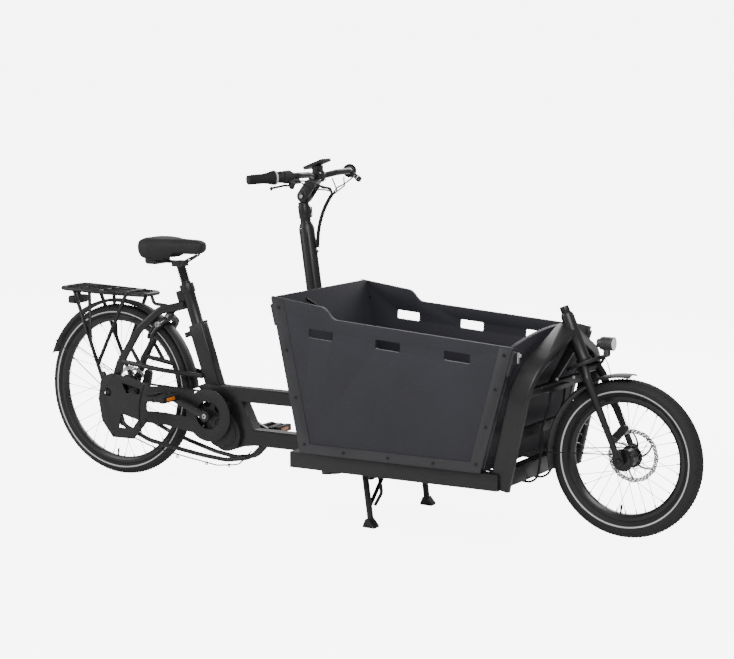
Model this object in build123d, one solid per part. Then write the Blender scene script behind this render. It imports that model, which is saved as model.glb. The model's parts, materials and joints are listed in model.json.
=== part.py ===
from build123d import *
import math
import os

# Two-wheeled electric cargo bicycle, millimetres.
# Bike axes: X forward, Y to the rider's left, Z up; rear axle above x = 0, both tyres on z = 0.
# The finished pieces are tipped onto the rear tyre and the centre stand by place_on_ground().

# ---- Driving dimensions -------------------------------------------------------------------
wheelbase = 2079.0
box_half_width = 306.0

rear_tyre_r = 327.0
rear_tyre_width = 48.0
rear_bead_r = 279.5
front_tyre_r = 265.0
front_tyre_width = 60.0
front_bead_r = 203.0
rim_depth = 17.0
rim_half_width = 15.0
spoke_r = 1.0
spoke_count = 32
rotor_thickness = 2.0
rear_rotor_r = 80.0
front_rotor_r = 90.0
axle_r = 6.0
running_gap = 0.05
safe_gap = 0.4

dropout_inside = 68.0
dropout_thickness = 9.0
stay_r = 9.0
stay_height = 30.0
fork_leg_y = 66.0

crank_x = 441.0
crank_z = 272.0
crank_length = 170.0
crank_rise_deg = 22.0
spindle_r = 9.0
chainline = 47.0
chainring_r = 84.0
sprocket_r = 42.0
chain_width = 8.0
chain_height = 10.0

mast_top = (307.0, 742.0)
mast_foot = (431.0, 380.0)
mast_tube_r = 23.0
mast_case_length = 63.0
mast_case_width = 46.0
mast_case_top_z = 600.0
rail_half_width = 26.0
upper_rail_low = 327.0
upper_rail_high = 379.0
lower_rail_low = 168.0
lower_rail_high = 228.0
rail_wall = 3.0

sill_low = 174.0
sill_high = 229.0
sill_tube_width = 42.0
sill_wall = 3.0
sill_rear_x = 952.0
sill_front_back = 325.0

panel_thickness = 12.0
rear_panel_inset = 12.0
floor_gap = 0.5
box_rear_top = (886.0, 766.0)
box_rear_foot_x = 1000.0
box_step_start = (1084.0, 740.0)
box_step_end = (1150.0, 698.0)
box_front_top_back = 272.0
box_front_top_z = 651.0
box_front_foot_back = 387.0
front_panel_crown = 38.0
trim_thickness = 2.0
trim_rear_width = 46.0
trim_front_width = 43.0
trim_bottom_height = 34.0
hand_slot_length = 96.0
hand_slot_height = 32.0
hand_slot_drop = 59.0
hand_slot_pitch = 261.0
hand_slot_first_x = 1085.0
bolt_head_r = 5.0
bolt_head_height = 3.0

column_top_z = 975.0
column_foot_z = 160.0
column_axis_x_at_top = 837.0
column_lean = 0.1435
column_r = 28.0
shaft_r = 19.0
shaft_wall = 3.5
pulley_r = 58.0

head_axis_x = 1918.0
head_axis_z = 587.0
head_lean_deg = 23.5
head_tube_r = 22.0
steerer_r = 14.5
arch_width = 72.0
arch_thickness = 28.0
arch_wall = 3.0
arch_lean = 0.22
arch_corner_z = 561.0
arch_rise_deg = 24.0
arch_bend_r = 160.0
arch_foot_x = 1762.0

bar_r = 11.1
bar_wall = 2.4
grip_r = 16.5
grip_length = 128.0
grip_flare_r = 23.0
lever_drop_deg = 42.0
lever_reach = 44.0
lever_length = 82.0
bar_half_width = 334.0
bar_sweep_back = 68.0
grip_sweep_deg = 30.0
stem_pivot_x = 831.0
stem_pivot_z = 1089.0
hinge_head_r = 25.0
bar_clamp_x = 886.0
bar_clamp_z = 1161.0

post_r = 13.6
rod_r = 10.0
saddle_top_z = 913.0
saddle_length = 280.0
saddle_width = 190.0

rack_top_z = 703.0
rack_rear_x = -232.0
rack_front_x = 146.0
rack_half_width = 75.0
rack_tube_r = 6.0
rack_leg_r = 5.7
fender_gap = 21.0
fender_thickness = 2.5

stand_pivot_x = 1196.0
stand_pivot_z = 146.0
stand_foot_x = 1218.0
stand_foot_z = -27.0
stand_leg_y = 200.0
stand_tube_r = 11.0

# ---- Values that follow from them --------------------------------------------------------
sill_half_width = box_half_width - 6.0
arch_half_width = sill_half_width - 23.0
rear_axle_z = rear_tyre_r
front_axle_z = front_tyre_r
front_shift = wheelbase - 2079.0
sill_front_x = wheelbase - sill_front_back
box_front_top = (wheelbase - box_front_top_back, box_front_top_z)
box_front_foot_x = wheelbase - box_front_foot_back
head_x = head_axis_x + front_shift
arch_x = arch_foot_x + front_shift
panel_inside = box_half_width - panel_thickness
box_outside = box_half_width + trim_thickness
dropout_outside = dropout_inside + dropout_thickness
floor_top = sill_high + panel_thickness
rear_fender_r = rear_tyre_r + fender_gap
front_fender_r = front_tyre_r + fender_gap - 3.0


# ---- Small helpers -----------------------------------------------------------------------
def rod(start, end, radius, bore=0.0):
    """Round bar, or tube when bore is given, from one point to another."""
    run = Vector(*end) - Vector(*start)
    plane = Plane(origin=start, z_dir=run)
    section = Circle(radius) - Circle(bore) if bore else Circle(radius)
    return extrude(plane * section, run.length)


def bent_tube(points, bends, radius, bore=0.0):
    """Round bar or tube of straight runs joined by tangent arcs."""
    path = FilletPolyline(*points, radius=bends)
    start = Plane(origin=path @ 0, z_dir=path % 0)
    body = sweep(start * Circle(radius), path=path)
    return body - sweep(start * Circle(bore), path=path) if bore else body


def oval_bar(points, bends, half_width, half_height):
    """Oval bar of straight runs joined by tangent arcs, taller than it is wide."""
    path = FilletPolyline(*points, radius=bends)
    start = Plane(origin=path @ 0, x_dir=(0, 1, 0), z_dir=path % 0)
    return sweep(start * Ellipse(half_width, half_height), path=path)


def plate(outline, y_low, y_high):
    """Flat plate whose outline is drawn in side view, as X and Z."""
    face = make_face(Polyline(*outline, close=True))
    return extrude(Plane.XZ.offset(-y_high) * face, y_high - y_low)


def disc(x, z, radius, y_low, y_high, bore=0.0):
    """Disc or ring whose axis lies across the bike."""
    section = Circle(radius) - Circle(bore) if bore else Circle(radius)
    return extrude(Plane.XZ.offset(-y_high) * Pos(x, z) * section, y_high - y_low)


def pill(start, end, radius, y_low, y_high):
    """Flat bar with round ends, seen from the side."""
    run = Vector(end[0] - start[0], end[1] - start[1])
    turn = math.degrees(math.atan2(run.Y, run.X))
    middle = Pos((start[0] + end[0]) / 2, (start[1] + end[1]) / 2) * Rot(0, 0, turn)
    section = middle * SlotCenterToCenter(run.length, 2 * radius)
    return extrude(Plane.XZ.offset(-y_high) * section, y_high - y_low)


def block(x_low, x_high, y_low, y_high, z_low, z_high):
    """Square block between two corners."""
    size = (x_high - x_low, y_high - y_low, z_high - z_low)
    centre = ((x_low + x_high) / 2, (y_low + y_high) / 2, (z_low + z_high) / 2)
    return Pos(*centre) * Box(*size)


def part_way(start, end, share):
    """Point on the straight line between two points."""
    return tuple(a + (b - a) * share for a, b in zip(start, end))


def both_sides(piece):
    """The piece and its mirror image on the other side of the bike."""
    return [piece, mirror(piece, about=Plane.XZ)]


def joined(pieces):
    """One solid made of pieces that meet."""
    whole = pieces[0]
    for piece in pieces[1:]:
        whole = whole + piece
    return whole


def without(piece, cutters):
    """The piece with every cutter taken away."""
    for cutter in cutters:
        piece = piece - cutter
    return piece


def ring_section_plane(x, z):
    """Plane through a wheel's axis: first axis across the bike, second away from the axle."""
    return Plane(origin=(x, 0, z), x_dir=(0, 1, 0), z_dir=(1, 0, 0))


def turned(x, z, section, start_deg=0.0, sweep_deg=360.0):
    """Section drawn as across and outwards, turned about a wheel's axis."""
    axis = Axis((x, 0, z), (0, 1, 0))
    face = ring_section_plane(x, z) * section
    whole = revolve(face, axis=axis, revolution_arc=sweep_deg)
    return whole.rotate(axis, start_deg) if start_deg else whole


def on_wheel(x, z, angle_deg, radius, y):
    """Point at an angle from straight ahead, measured upwards, around an axle."""
    angle = math.radians(angle_deg)
    return (x + radius * math.cos(angle), y, z + radius * math.sin(angle))


def mast_point(z, ahead=0.0, y=0.0):
    """Point on the line of the mast at a height, moved square to it."""
    share = (z - mast_foot[1]) / (mast_top[1] - mast_foot[1])
    x = mast_foot[0] + share * (mast_top[0] - mast_foot[0])
    return (x + ahead * math.cos(mast_angle), y, z + ahead * math.sin(mast_angle))


def along_mast(distance, ahead=0.0, y=0.0):
    """Point a distance up the mast from its top, moved square to it."""
    up = (-math.sin(mast_angle), math.cos(mast_angle))
    x = mast_top[0] + distance * up[0] + ahead * math.cos(mast_angle)
    z = mast_top[1] + distance * up[1] + ahead * math.sin(mast_angle)
    return (x, y, z)


mast_angle = math.atan2(mast_foot[0] - mast_top[0], mast_top[1] - mast_foot[1])
mast_up = (-math.sin(mast_angle), 0, math.cos(mast_angle))


def column_point(z, ahead=0.0, y=0.0):
    """Point on the steering column's axis at a height."""
    return (column_axis_x_at_top + (column_top_z - z) * column_lean + ahead, y, z)


def head_point(distance, ahead=0.0, y=0.0):
    """Point up the fork's steering axis from its reference point, moved forwards square to it."""
    lean = math.radians(head_lean_deg)
    x = head_x - distance * math.sin(lean) + ahead * math.cos(lean)
    z = head_axis_z + distance * math.cos(lean) + ahead * math.sin(lean)
    return (x, y, z)


# ---- Wheels ------------------------------------------------------------------------------
def tyre(x, z, outer_r, width, bead_r):
    """Open tyre carcass whose two beads sit between the rim's flanges."""
    half = width / 2
    middle = outer_r - half
    wall = 4.5
    flange_top = bead_r + 5.0
    inside = rim_half_width - 2.1
    carcass = Pos(0, middle) * Circle(half)
    carcass -= Pos(0, flange_top + 0.1 - half) * Rectangle(width, 2 * half)
    beads = Pos(0, bead_r + 4.0) * Rectangle(2 * inside, 7.8)
    hollow = Pos(0, middle) * Circle(half - wall)
    opening = Pos(0, bead_r + 8.0) * Rectangle(2 * inside - 2 * wall, 18.0)
    section = carcass + beads - hollow - opening
    return turned(x, z, section)


def rim(x, z, bead_r):
    """Aluminium rim with a drop well and two flanges."""
    w = rim_half_width
    top = bead_r + 5.0
    inner = bead_r - rim_depth
    outline = [(-w, top), (-w + 2, top), (-w + 2, bead_r), (-8, bead_r - 4), (8, bead_r - 4)]
    outline += [(w - 2, bead_r), (w - 2, top), (w, top), (w, bead_r - 7), (7, inner), (-7, inner)]
    outline += [(-w, bead_r - 7)]
    return turned(x, z, make_face(Polyline(*outline, close=True)))


def hub(x, z, body_r, flange_r, left, right, bore):
    """Hub shell with two spoke flanges, bored for its axle."""
    shell = disc(x, z, body_r, right, left)
    for flange_y in (right + 6, left - 6):
        shell += disc(x, z, flange_r, flange_y - 1.6, flange_y + 1.6)
    return shell - disc(x, z, bore, right - 60, left + 60)


def spokes(x, z, flange_r, left, right, bead_r, phase_deg):
    """Crossed wire spokes, alternately from either flange, heads in and heads out."""
    cross_deg = 62.0
    wires = []
    for i in range(spoke_count):
        flange_y = (left - 6) if i % 2 else (right + 6)
        trailing = (i // 2) % 2
        lean = cross_deg if trailing else -cross_deg
        side = 1 if i % 2 else -1
        hub_y = flange_y + side * (2.1 if trailing else -2.1)
        rim_deg = phase_deg + i * 360.0 / spoke_count
        start = on_wheel(x, z, rim_deg + lean, flange_r - 5.0, hub_y)
        end = on_wheel(x, z, rim_deg, bead_r - rim_depth + 4.0, side * 2.5)
        wires.append(rod(start, end, spoke_r))
    return wires


def rotor(x, z, radius, y_low, bolt_r):
    """Brake disc: friction ring, curved look given by six arms, and a bolted centre."""
    y_high = y_low + rotor_thickness
    band = 15.0
    ring = disc(x, z, radius, y_low, y_high, radius - band)
    centre = disc(x, z, bolt_r + 7, y_low, y_high, bolt_r - 6)
    arms = []
    for i in range(6):
        start = on_wheel(x, z, i * 60.0, bolt_r + 2, 0)
        end = on_wheel(x, z, i * 60.0 + 28.0, radius - band + 3, 0)
        arms.append(pill((start[0], start[2]), (end[0], end[2]), 4.0, y_low, y_high))
    return joined([ring, centre] + arms)


rear_hub_left = 50.0
rear_hub_right = -34.0
rear_hub_r = 42.0
rear_flange_r = 50.0
driver_r = 18.0
front_hub_left = 44.0
front_hub_right = -40.0
front_hub_r = 30.0
front_flange_r = 38.0
lock_deg = 51.0
valve_r = 3.0
valve_deg = 264.0


def rear_hub():
    bore_r = axle_r + running_gap
    shell = hub(0, rear_axle_z, rear_hub_r, rear_flange_r, rear_hub_left, rear_hub_right, bore_r)
    bore = axle_r + running_gap
    driver = disc(0, rear_axle_z, driver_r, rear_hub_right - 22, rear_hub_right, bore)
    neck = disc(0, rear_axle_z, 22, rear_hub_left, rear_hub_left + 8, bore)
    return shell + driver + neck


def front_hub():
    bore = axle_r + running_gap
    shell = hub(wheelbase, front_axle_z, front_hub_r, front_flange_r, front_hub_left, front_hub_right, bore)
    neck = disc(wheelbase, front_axle_z, 22, front_hub_left, front_hub_left + 6, bore)
    return shell + neck


def valved_rim(x, z, bead_r):
    """Rim with its valve, near the bottom of the wheel."""
    outer = on_wheel(x, z, valve_deg, bead_r - 8, 0)
    inner = on_wheel(x, z, valve_deg, bead_r - rim_depth - 28, 0)
    return rim(x, z, bead_r) + rod(outer, inner, valve_r)


# ---- Frame -------------------------------------------------------------------------------
def mast():
    """Seat tube, rectangular battery mast below it, seat clamp ears and the key lock's boss."""
    low = mast_point(upper_rail_low + 30)
    top = along_mast(3)
    tube = rod(mast_point(mast_case_top_z - 30), top, mast_tube_r)
    case_plane = Plane(origin=low, x_dir=(math.cos(mast_angle), 0, math.sin(mast_angle)), z_dir=mast_up)
    case_run = (mast_case_top_z - low[2]) / math.cos(mast_angle)
    case = extrude(case_plane * RectangleRounded(mast_case_length, mast_case_width, 8), case_run)
    collar = rod(along_mast(-30), along_mast(4), mast_tube_r + 4)
    ears = rod(along_mast(-60, -40, 0), along_mast(-12, -40, 0), 14)
    web = Plane(origin=along_mast(-36, -27), x_dir=(0, 1, 0), z_dir=mast_up) * Box(22, 26, 40)
    key_z = mast_case_top_z - 25
    lock_boss = rod(mast_point(key_z, -40), mast_point(key_z, -20), 12)
    body = joined([case, tube, collar, ears, web, lock_boss])
    bore = rod(along_mast(-230), along_mast(20), post_r + running_gap)
    key_hole = rod(mast_point(key_z, -60), mast_point(key_z, -30), 4.0 + running_gap)
    return body - bore - key_hole


def square_rail(x_low, x_high, z_low, z_high):
    """Rectangular tube that runs along the bike."""
    section = RectangleRounded(2 * rail_half_width, z_high - z_low, 7)
    hollow = RectangleRounded(2 * rail_half_width - 2 * rail_wall, z_high - z_low - 2 * rail_wall, 4)
    plane = Plane(origin=(x_low, 0, (z_low + z_high) / 2), x_dir=(0, 1, 0), z_dir=(1, 0, 0))
    return extrude(plane * (section - hollow), x_high - x_low)


def motor_outline(grow, y_low, y_high):
    """Rounded body of the drive unit around the crank axle, seen from the side."""
    return pill((crank_x + 3, crank_z - 10), (crank_x + 60, crank_z - 68), 64 + grow, y_low, y_high)


def cradle():
    """Cast bracket that hangs the drive unit between mast foot and rails."""
    outline = [(crank_x - 40, crank_z + 60), (crank_x - 70, crank_z + 100),
               (crank_x - 40, upper_rail_high + 4)]
    outline += [(crank_x + 55, upper_rail_high - 2), (crank_x + 125, upper_rail_low + 1)]
    outline += [(crank_x + 176, lower_rail_high - 3), (crank_x + 172, lower_rail_low)]
    outline += [(crank_x + 90, lower_rail_low - 12), (crank_x + 20, crank_z)]
    return plate(outline, -rail_half_width, rail_half_width)


def frame_rails():
    """Upper and lower centre rails with the motor cradle welded between them."""
    upper = square_rail(crank_x + 40, column_point(353)[0], upper_rail_low, upper_rail_high)
    lower = square_rail(crank_x + 160, sill_rear_x, lower_rail_low, lower_rail_high)
    body = cradle() + upper + lower
    cutters = [motor_outline(0.2, -60, 60), column_blank(0.2), mast_blank(0.2)]
    return without(body, cutters)


def mast_blank(grow):
    """Space taken by the foot of the battery mast."""
    low = mast_point(upper_rail_low + 30 - grow)
    plane = Plane(origin=low, x_dir=(math.cos(mast_angle), 0, math.sin(mast_angle)), z_dir=mast_up)
    return extrude(plane * Rectangle(mast_case_length + 2 * grow, mast_case_width + 2 * grow), 200)


def column_blank(grow):
    """Space taken by the steering column's fixed tube."""
    return rod(column_point(column_foot_z - 5), column_point(column_top_z), column_r + grow)


def column_tube():
    """Fixed tube around the steering shaft, with lengthwise grooves and a bearing cup at each end."""
    low = column_point(column_foot_z)
    high = column_point(column_top_z)
    body = rod(low, high, column_r)
    run = Vector(*high) - Vector(*low)
    plane = Plane(origin=low, x_dir=(0, 1, 0), z_dir=run)
    for i in range(6):
        groove = Rot(0, 0, 30 + 60 * i) * Pos(column_r + 1.2, 0) * Circle(3.2)
        cut_run = run.length - 60
        body -= extrude(plane.offset(30) * groove, cut_run)
    boss = rod(column_point(888, column_r - 4), column_point(898, column_r + 6), 7)
    body += boss
    bore_ends = column_point(column_foot_z - 20), column_point(column_top_z + 20)
    return body - rod(*bore_ends, shaft_r + running_gap)


def motor():
    """Drive unit with a raised cover on each side, bored for the crank spindle."""
    right = -chainline + chain_width / 2 + 5
    body = motor_outline(0, right, 42)
    for y_low, y_high in ((right - 4, right), (42, 46)):
        body += disc(crank_x + 56, crank_z - 64, 50, y_low, y_high)
    return body - disc(crank_x, crank_z, spindle_r + running_gap, -60, 60)


def stay_points(side):
    """Line of one seat stay from the mast, over the fender, to the dropout."""
    return [(305, side * 16, 668), (214, side * 46, 646), (140, side * 73, 575), (48, side * 74, 440),
            (14, side * 74, 350)]


def rear_triangle():
    """Seat stays, upper and lower chain stays, gussets and the two dropout plates."""
    pieces = []
    for side in (1, -1):
        seat_stay = oval_bar(stay_points(side), [60, 70, 60], stay_r - 1, stay_height / 2)
        upper = [(392, side * 24, 409), (225, side * 62, 426), (60, side * 74, 447)]
        upper_stay = bent_tube(upper, [200], stay_r)
        lower = [(20, side * 74, 300), (62, side * 77, 205), (180, side * 76, 158), (300, side * 58, 134),
                 (400, side * 42, 116), (500, side * 32, 106), (600, side * 22, 122), (650, side * 16, 172)]
        lower_stay = bent_tube(lower, [50, 120, 200, 200, 120, 90], 8.0)
        outline = [(-24, 318), (-14, 352), (6, 372), (34, 420), (50, 448), (66, 440), (50, 400), (30, 350),
                   (36, 296), (64, 210), (48, 200), (8, 276), (-16, 292)]
        low_y = dropout_inside if side > 0 else -dropout_outside
        high_y = dropout_outside if side > 0 else -dropout_inside
        dropout = plate(outline, low_y, high_y)
        gusset = plate([(60, 450), (98, 515), (150, 440)], low_y + 2, high_y - 2)
        window = plate([(76, 452), (98, 492), (126, 448)], low_y - 5, high_y + 5)
        half = joined([seat_stay, upper_stay, lower_stay, dropout, gusset]) - window
        pieces.append(half - disc(0, rear_axle_z, axle_r + running_gap, -120, 120))
    bridge = rod((214, -46, 646), (214, 46, 646), 7.0)
    whole = joined(pieces + [bridge])
    cutters = [rod(mast_point(mast_case_top_z - 30), along_mast(3), mast_tube_r + 0.2), mast_blank(0.2)]
    cutters += [square_blank(crank_x + 160, sill_rear_x, lower_rail_low, lower_rail_high), cradle()]
    cutters += [motor_outline(0.3, -60, 60)]
    return without(whole, cutters)


def square_blank(x_low, x_high, z_low, z_high):
    """Space taken by a centre rail."""
    return block(x_low, x_high, -rail_half_width, rail_half_width, z_low, z_high)


def sill_frame():
    """Rectangular ring of box tube that carries the cargo box."""
    y_out = sill_half_width
    outer = block(sill_rear_x, sill_front_x, -y_out, y_out, sill_low, sill_high)
    inner_y = y_out - sill_tube_width
    inner_front = sill_front_x - sill_tube_width
    inner = block(sill_rear_x + sill_tube_width, inner_front, -inner_y, inner_y, sill_low - 1, sill_high + 1)
    ring = outer - inner
    w = sill_wall
    hollow_y = inner_y + w
    cavity = block(sill_rear_x + w, sill_front_x - w, -y_out + w, y_out - w, sill_low + w, sill_high - w)
    core = block(sill_rear_x + sill_tube_width - w, inner_front + w, -hollow_y, hollow_y, sill_low, sill_high)
    drain = block(sill_rear_x - 1, sill_rear_x + w + 1, 12 - y_out, 30 - y_out, sill_low + 20, sill_low + 36)
    ring = ring - (cavity - core) - drain
    beam_x = stand_pivot_x - 4
    beam = block(beam_x - 20, beam_x + 30, -inner_y, inner_y, sill_low + 8, sill_high)
    cross = beam - block(beam_x - 17, beam_x + 27, -inner_y - 1, inner_y + 1, sill_low + 11, sill_high - 3)
    body = ring + cross
    for side in (1, -1):
        for y_low in (stand_leg_y - 42, stand_leg_y - 76):
            low, high = sorted((side * y_low, side * (y_low + 8)))
            ear = pill((stand_pivot_x, stand_pivot_z), (stand_pivot_x, sill_low + 10), 17, low, high)
            body += ear
        body -= disc(stand_pivot_x, stand_pivot_z, stand_tube_r + running_gap, -400, 400)
    return body - column_blank(0.2)


def arch_plane():
    """Leaning plane of the front arches: first axis across, second up along the lean."""
    origin = (arch_x, 0, sill_high)
    return Plane(origin=origin, x_dir=(0, 1, 0), z_dir=(1, 0, -arch_lean))


def arch_path(side):
    """Centre line of one arch, from the sill up and in to the head tube."""
    stretch = math.hypot(1, arch_lean)
    corner_up = (arch_corner_z - sill_high) * stretch
    rise = math.tan(math.radians(arch_rise_deg))
    foot = (side * arch_half_width, -50 * stretch)
    corner = (side * arch_half_width, corner_up)
    top = (side * 2, corner_up + (arch_half_width - 2) * rise)
    return [arch_plane().from_local_coords(Vector(*p)) for p in (foot, corner, top)]


def one_arch(side):
    """Flattened tube bent from the sill to the head tube."""
    path = FilletPolyline(*arch_path(side), radius=arch_bend_r)
    start = path @ 0
    section_plane = Plane(origin=start, x_dir=(1, 0, -arch_lean), z_dir=path % 0)
    outer = sweep(section_plane * RectangleRounded(arch_width, arch_thickness, 9), path=path)
    w = 2 * arch_wall
    inner = sweep(section_plane * RectangleRounded(arch_width - w, arch_thickness - w, 6), path=path)
    return outer - inner


def front_arches():
    """Two arches welded to the head tube, with cross braces and the cable stop."""
    arches = one_arch(1) + one_arch(-1)
    head = rod(head_point(-8), head_point(150), head_tube_r)
    cup_plane = Plane(origin=head_point(150), z_dir=Vector(*head_point(160)) - Vector(*head_point(150)))
    upper_cup = extrude(cup_plane * Circle(head_tube_r), 10, taper=22)
    lower_cup = rod(head_point(-12), head_point(0), head_tube_r + 4)
    brace_x = arch_x + arch_lean * (480 - sill_high) - 12
    low_x = arch_x + arch_lean * (345 - sill_high) - 14
    upper_brace = block(brace_x - 12, brace_x + 12, -arch_half_width + 8, arch_half_width - 8, 470, 498)
    lower_brace = block(low_x - 10, low_x + 10, -arch_half_width + 8, arch_half_width - 8, 332, 362)
    spine = plate([(brace_x - 12, 497), (brace_x + 12, 497), (head_x - 22, 622), (head_x - 40, 652)], -7, 7)
    stop = block(brace_x + 8, brace_x + 34, -70, 70, 476, 490)
    body = joined([arches, head, upper_cup, lower_cup, upper_brace, lower_brace, spine, stop])
    hollow = rod(head_point(-20), head_point(170), steerer_r + running_gap)
    sill_space = block(sill_rear_x, sill_front_x, -sill_half_width, sill_half_width, sill_low - 20, sill_high)
    holes = [rod((brace_x + 21, side * 55, 460), (brace_x + 21, side * 55, 500), 4.2) for side in (1, -1)]
    return without(body, [hollow, sill_space] + holes)


# ---- Cargo box ---------------------------------------------------------------------------
def top_edge_z(x):
    """Height of the low front part of the side panel's top edge."""
    slope = (box_front_top[1] - box_step_end[1]) / (box_front_top[0] - box_step_end[0])
    return box_step_end[1] + slope * (x - box_step_end[0])


def rear_edge_x(z):
    """X of the leaning rear edge of the box at a height."""
    share = (z - sill_high) / (box_rear_top[1] - sill_high)
    return box_rear_foot_x + (box_rear_top[0] - box_rear_foot_x) * share


def front_edge_x(z):
    """X of the leaning front edge of the box at a height."""
    share = (z - sill_high) / (box_front_top[1] - sill_high)
    return box_front_foot_x + (box_front_top[0] - box_front_foot_x) * share


def side_face():
    """Side view of the box with its stepped top edge."""
    rear_foot = (box_rear_foot_x, sill_high)
    front_foot = (box_front_foot_x, sill_high)
    step = Spline(box_step_start, box_step_end, tangents=[(1, -0.13), (1, -0.07)])
    edges = [Line(box_rear_top, box_step_start), step, Line(box_step_end, box_front_top)]
    edges += [Line(box_front_top, front_foot), Line(front_foot, rear_foot), Line(rear_foot, box_rear_top)]
    return make_face(edges)


def hand_slots():
    """Three openings in each side, in line with the top edge."""
    slots = []
    for i in range(3):
        x = hand_slot_first_x + i * hand_slot_pitch
        z = top_edge_z(x) - hand_slot_drop
        turn = math.degrees(math.atan2(top_edge_z(x + 100) - top_edge_z(x), 100))
        shape = Pos(x, z) * Rot(0, 0, turn) * RectangleRounded(hand_slot_length, hand_slot_height, 6)
        slots.append(extrude(Plane.XZ.offset(-500) * shape, 1000))
    return slots


def box_sides():
    """The two side panels."""
    panel = extrude(Plane.XZ.offset(-box_half_width) * side_face(), panel_thickness)
    panel = without(panel, hand_slots())
    return both_sides(panel)


def box_ends():
    """Rear panel, and the front panel with its crowned top edge."""
    t = panel_thickness
    back = rear_panel_inset
    rear_outline = [(box_rear_foot_x + back, sill_high), (box_rear_top[0] + back, box_rear_top[1]),
                    (box_rear_top[0] + back + t, box_rear_top[1]), (box_rear_foot_x + back + t, sill_high)]
    rear = plate(rear_outline, -panel_inside, panel_inside)
    lean_x = box_front_top[0] - box_front_foot_x
    height = box_front_top[1] - sill_high
    run = math.hypot(lean_x, height)
    plane = Plane(origin=(box_front_foot_x, 0, sill_high), x_dir=(0, 1, 0), z_dir=(height, 0, -lean_x))
    sign = 1 if plane.y_dir.Z > 0 else -1
    corners = [(panel_inside, sign * run), (panel_inside, 0), (-panel_inside, 0), (-panel_inside, sign * run)]
    crown = ThreePointArc(corners[3], (0, sign * (run + front_panel_crown)), corners[0])
    edges = [Line(corners[0], corners[1]), Line(corners[1], corners[2]), Line(corners[2], corners[3]), crown]
    front = extrude(plane * make_face(edges), -t)
    foot_x = box_front_foot_x
    below = block(foot_x - 60, foot_x + 60, -panel_inside, panel_inside, sill_high - 30, sill_high)
    return [rear, front - below]


def box_floor():
    """Floor panel between the sides, resting on the sill."""
    rear_x = box_rear_foot_x + rear_panel_inset + panel_thickness + floor_gap
    lean = math.atan2(box_front_top[0] - box_front_foot_x, box_front_top[1] - sill_high)
    front_x = box_front_foot_x - panel_thickness / math.cos(lean) - floor_gap
    return block(rear_x, front_x, -panel_inside + floor_gap, panel_inside - floor_gap, sill_high, floor_top)


def box_trims():
    """Folded metal edge strips on the box and the small brackets at its top corners."""
    y_low = box_half_width
    y_high = box_outside
    trims = []
    z_rear = box_rear_top[1] - 4
    low = sill_high + 1
    rear_strip = plate([(rear_edge_x(low), low), (rear_edge_x(z_rear), z_rear),
                        (rear_edge_x(z_rear) + trim_rear_width, z_rear - 6),
                        (rear_edge_x(low) + trim_rear_width, low)], y_low, y_high)
    z_front = box_front_top[1] - 2
    front_strip = plate([(front_edge_x(low), low), (front_edge_x(z_front), z_front),
                         (front_edge_x(z_front) - trim_front_width, z_front + 2),
                         (front_edge_x(low) - trim_front_width, low)], y_low, y_high)
    bottom_strip = plate([(rear_edge_x(low), low), (front_edge_x(low), low),
                          (front_edge_x(low + trim_bottom_height), low + trim_bottom_height),
                          (rear_edge_x(low + trim_bottom_height), low + trim_bottom_height)], y_low, y_high)
    strip = joined([rear_strip, front_strip, bottom_strip])
    t = trim_thickness
    rear_leaf = plate([(rear_edge_x(low) - t, low), (rear_edge_x(z_rear) - t, z_rear),
                       (rear_edge_x(z_rear), z_rear), (rear_edge_x(low), low)], box_half_width - 26, y_high)
    front_leaf = plate([(front_edge_x(low) + t, low), (front_edge_x(z_front) + t, z_front),
                        (front_edge_x(z_front), z_front), (front_edge_x(low), low)], box_half_width - 26, y_high)
    angle = joined([strip, rear_leaf, front_leaf])
    z_top = z_rear - 22
    rear_bracket = plate([(rear_edge_x(z_top) - 14, z_top - 4), (rear_edge_x(z_top) - t, z_top),
                          (rear_edge_x(z_top - 78) - t, z_top - 78), (rear_edge_x(z_top - 78) - 14, z_top - 74)],
                         box_half_width - 20, box_half_width - 4)
    z_top = z_front - 10
    front_bracket = plate([(front_edge_x(z_top) + t, z_top), (front_edge_x(z_top) + 11, z_top - 4),
                           (front_edge_x(z_top - 84) + 11, z_top - 80), (front_edge_x(z_top - 84) + t, z_top - 84)],
                          box_half_width - 20, box_half_width - 4)
    trims = both_sides(joined([angle, rear_bracket, front_bracket]))
    return trims


def box_bolts():
    """Round bolt heads along the edge strips."""
    spots = []
    for share in (0.06, 0.36, 0.66, 0.93):
        z = sill_high + share * (box_rear_top[1] - sill_high)
        spots.append((rear_edge_x(z) + trim_rear_width / 2, z))
    for share in (0.07, 0.37, 0.67, 0.94):
        z = sill_high + share * (box_front_top[1] - sill_high)
        spots.append((front_edge_x(z) - trim_front_width / 2, z))
    for share in (0.25, 0.5, 0.75):
        x = box_rear_foot_x + share * (box_front_foot_x - box_rear_foot_x)
        spots.append((x, sill_high + trim_bottom_height / 2))
    heads = []
    for x, z in spots:
        head = disc(x, z, bolt_head_r, box_outside, box_outside + bolt_head_height)
        heads += both_sides(head)
    return heads


# ---- Drive -------------------------------------------------------------------------------
def chain_loop(offset, y_low, y_high):
    """Outline of the belt-shaped chain path, grown by an offset."""
    distance = math.hypot(crank_x, crank_z - rear_axle_z)
    base = math.atan2(crank_z - rear_axle_z, crank_x)
    swing = math.acos((chainring_r - sprocket_r) / distance)
    big = chainring_r + offset
    small = sprocket_r + offset
    points = []
    for sign in (1, -1):
        angle = base + math.pi - sign * swing
        big_point = (crank_x + big * math.cos(angle), crank_z + big * math.sin(angle))
        small_point = (small * math.cos(angle), rear_axle_z + small * math.sin(angle))
        points.append((big_point, small_point))
    outline = [points[0][0], points[0][1], points[1][1], points[1][0]]
    body = plate(outline, y_low, y_high)
    body += disc(crank_x, crank_z, big, y_low, y_high)
    return body + disc(0, rear_axle_z, small, y_low, y_high)


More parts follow.
